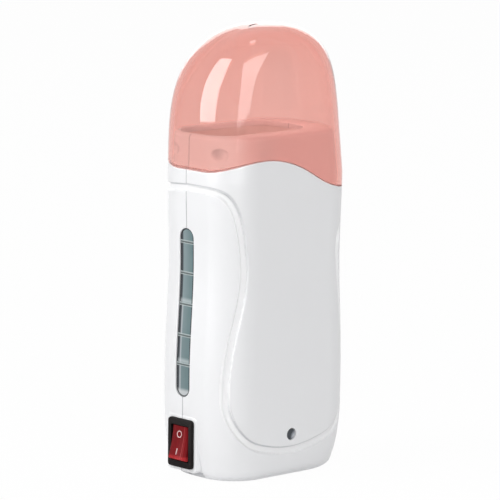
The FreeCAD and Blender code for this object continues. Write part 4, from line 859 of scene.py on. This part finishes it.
# ---------------------------------------------------------------- indicator lens
# A small smoke-grey lens sits a little below the front panel, low on its middle line.
# It is a shallow dish with a collar behind the panel, and a red lamp stands behind it.
LENS_RECESS = 0.8
LENS_FRONT = -(HALF_DEPTH - LENS_RECESS)
lens = turned("lens", "Y", (0, LAMP_LEVEL), [
    (LENS_FRONT + 0.9, 0.01), (LENS_FRONT + 0.85, 0.7), (LENS_FRONT + 0.68, 1.3), (LENS_FRONT + 0.4, 1.8),
    (LENS_FRONT + 0.05, 2.2), (LENS_FRONT, 2.3), (LENS_FRONT + 0.06, 2.44), (LENS_FRONT + 0.3, 2.5),
    (LENS_FRONT + 1.7, 2.5), (LENS_FRONT + 1.7, 3.3), (LENS_FRONT + 2.5, 3.3), (LENS_FRONT + 2.5, 0.01),
])
lens_look = Look("lens_smoke", {"Roughness": 0.2, "IOR": 1.5, "Specular IOR Level": 0.2})
lens_side, _, lens_up = lens_look.axes()
# Painted highlight: the lens turns a lighter grey toward its +x side and its lower edge, as a lit crescent.
glow = (lens_side + (lens_up - LAMP_LEVEL) * -0.5).between(0.9, 2.4)
grey = lens_look.mixed(lens_look.noise(200.0), (0.060, 0.068, 0.078), (0.08, 0.09, 0.10))
lens_look.colour(lens_look.mixed(glow, grey, (0.40, 0.42, 0.46)))
placed(smoothed(lens), lens_look, "case", "lens_smoke", "indicator_lens")

# ---------------------------------------------------------------- other pieces of the frame
# The chamber, heater, switch works, lamp, inlet, screws and wires keep their own meshes.
# Each material is given as (base tone, other tone, roughness, metallic, pieces).
PLAIN = {
    "well_metal": ((0.80, 0.80, 0.79), (0.86, 0.86, 0.85), 0.45, 0.5, ("wax_chamber",)),
    "heater_ceramic": ((0.45, 0.36, 0.20), (0.52, 0.42, 0.25), 0.6, 0.0, ("ptc_heater",)),
    "mica": ((0.48, 0.40, 0.24), (0.56, 0.48, 0.30), 0.5, 0.0, ("mica_sheet",)),
    "strap_steel": ((0.45, 0.45, 0.44), (0.55, 0.55, 0.54), 0.35, 1.0, ("heater_clamp", "fuse_clip")),
    "screw_steel": ((0.42, 0.42, 0.41), (0.52, 0.52, 0.50), 0.3, 1.0, ("clamp_screws", "case_screws")),
    "fuse_body": ((0.50, 0.48, 0.42), (0.58, 0.55, 0.48), 0.4, 1.0, ("thermal_fuse",)),
    "spring_steel": ((0.42, 0.42, 0.42), (0.50, 0.50, 0.50), 0.3, 1.0, ("switch_spring",)),
    "contact_brass": (
        (0.58, 0.38, 0.12), (0.68, 0.46, 0.18), 0.3, 1.0,
        ("switch_plunger", "switch_contact_arm", "switch_terminals", "inlet_pins"),
    ),
    "lamp_red": ((0.45, 0.02, 0.015), (0.52, 0.03, 0.02), 0.2, 0.0, ("indicator_lamp",)),
    "board_green": ((0.02, 0.10, 0.04), (0.03, 0.13, 0.05), 0.45, 0.0, ("indicator_board",)),
    "resistor_tan": ((0.50, 0.35, 0.16), (0.58, 0.42, 0.20), 0.5, 0.0, ("board_resistor",)),
    "inlet_black": ((0.02, 0.02, 0.02), (0.03, 0.03, 0.03), 0.5, 0.0, ("power_inlet",)),
    "wire_red": ((0.30, 0.01, 0.01), (0.36, 0.02, 0.015), 0.5, 0.0, ("live_wire", "switched_wire")),
    "wire_blue": ((0.01, 0.03, 0.22), (0.015, 0.04, 0.27), 0.5, 0.0, ("neutral_wire",)),
    "wire_white": ((0.70, 0.70, 0.66), (0.76, 0.76, 0.72), 0.5, 0.0, ("heater_wire", "lamp_wires")),
}
for slot, (tone, other, roughness, metallic, names) in PLAIN.items():
    look = Look(slot, {"Metallic": metallic})
    look.mottled(tone, other, 150.0)
    look.rough(roughness - 0.05, roughness + 0.08, 220.0)
    # The upper part of the well gets a painted glow, seen only through the cap.
    if slot == "well_metal":
        look.scatter(look.axes()[2].between(GLOW_LOW, NECK_TOP - 6), WELL_GLOW)
    for name in names:
        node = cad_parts[name]
        node.data.materials.clear()
        node.data.materials.append(look.material)

# ---------------------------------------------------------------- studio
# White floor and surround, a soft key from behind on the left, a broad front light and a small one above.
# Three glowing sheets show only as reflections in the cap.
TARGET = Vector((0, 1.8, 90.8)) * MM
AZIMUTH, ELEVATION, DISTANCE, ROLL = 42.7, 9.67, 1.658, 0.7
LENS, SENSOR, SHIFT = 280.3, 36.0, (-0.0006, 0.015)
theta, phi = math.radians(AZIMUTH), math.radians(ELEVATION)
backwards = Vector((-math.sin(theta) * math.cos(phi), -math.cos(theta) * math.cos(phi), math.sin(phi)))
camera = bpy.data.objects.new("camera", bpy.data.cameras.new("camera"))
bpy.context.scene.collection.objects.link(camera)
camera.location = TARGET + backwards * DISTANCE
turn_to = (-backwards).to_track_quat("-Z", "Y").to_matrix() @ Matrix.Rotation(math.radians(ROLL), 3, "Z")
camera.rotation_euler = turn_to.to_euler()
camera.data.lens, camera.data.sensor_width = LENS, SENSOR
camera.data.shift_x, camera.data.shift_y = SHIFT
camera.data.clip_start, camera.data.clip_end = 0.05, 20.0
bpy.context.scene.camera = camera


def soft_box(name, place, aim, size, power):
    """Rectangular lamp that faces a point."""
    lamp = bpy.data.lights.new(name, "AREA")
    lamp.shape, lamp.size, lamp.size_y, lamp.energy = "RECTANGLE", size[0], size[1], power
    item = bpy.data.objects.new(name, lamp)
    bpy.context.scene.collection.objects.link(item)
    item.location = place
    item.rotation_euler = (Vector(aim) - Vector(place)).to_track_quat("-Z", "Y").to_euler()
    return item


key = soft_box("key", (-1.16, 0.42, 0.85), (0, 0, 0.165), (0.65, 1.1), 8.1)
front = soft_box("front", (-0.77, -1.55, 1.5), (0, 0, 0.12), (1.5, 1.5), 17.0)
for lamp in (key, front):
    lamp.visible_glossy = False
soft_box("top", (-0.05, 0.1, 1.5), (0, 0, 0.1), (0.2, 0.2), 0.5)


CAP_MIDDLE = Vector((0, 0, 0.165))


def reflected_sheet(name, place, corners, glow):
    """Glowing sheet with its own outline, in millimetres, that shows only as a reflection."""
    sheet = new_piece(name, [(x, y, 0) for x, y in corners], [list(range(len(corners)))])
    sheet.location = place
    sheet.rotation_euler = (CAP_MIDDLE - Vector(place)).to_track_quat("-Z", "Y").to_euler()
    look = Look(name, {})
    light = look.node("ShaderNodeEmission", {}, {"Color": (1, 1, 1, 1), "Strength": glow})
    look.fill(look.nodes["Material Output"], {"Surface": light})
    sheet.data.materials.append(look.material)
    sheet.visible_camera = sheet.visible_diffuse = sheet.visible_transmission = sheet.visible_shadow = False


LEFT_SHEET = ((-800, -710), (380, -570), (360, 100), (170, 630), (-500, 520))
RIGHT_SHEET = ((-330, -830), (720, -880), (780, -300), (1630, 1050), (-660, 810))
REAR_SHEET = ((-800, -420), (800, -420), (800, 420), (-800, 420))
reflected_sheet("left_sheet", (-1.16, 0.34, 0.735), LEFT_SHEET, 10.0)
reflected_sheet("right_sheet", (-1.06, -1.7, 0.98), RIGHT_SHEET, 6.0)
reflected_sheet("rear_sheet", (1.02, 1.10, 0.60), REAR_SHEET, 2.5)

AMBIENT, FLOOR_WHITE, FLOOR_REACH = 0.36, 0.97, 3000
floor_corners = [(FLOOR_REACH * x, FLOOR_REACH * y, 0) for x, y in ((-1, -1), (1, -1), (1, 1), (-1, 1))]
floor = new_piece("floor", floor_corners, [(0, 1, 2, 3)])
floor_look = Look("floor_white", {"Base Color": (0.95, 0.95, 0.95, 1), "Roughness": 0.9})
white = floor_look.node("ShaderNodeEmission", {}, {"Color": (1, 1, 1, 1), "Strength": 1.0})
lit = Value(floor_look, floor_look.shader.outputs["BSDF"])
both = floor_look.node("ShaderNodeMixShader", {}, {0: floor_look.seen() * FLOOR_WHITE, 1: lit, 2: white})
floor_look.fill(floor_look.nodes["Material Output"], {"Surface": both})
floor.data.materials.append(floor_look.material)

world = bpy.data.worlds.new("studio")
bpy.context.scene.world = world
world.use_nodes = True
sky = Tree(world.node_tree)
sky.fill(sky.nodes["Background"], {"Color": (1, 1, 1, 1), "Strength": sky.seen() * (1 - AMBIENT) + AMBIENT})
bpy.context.scene.view_settings.view_transform = "Standard"
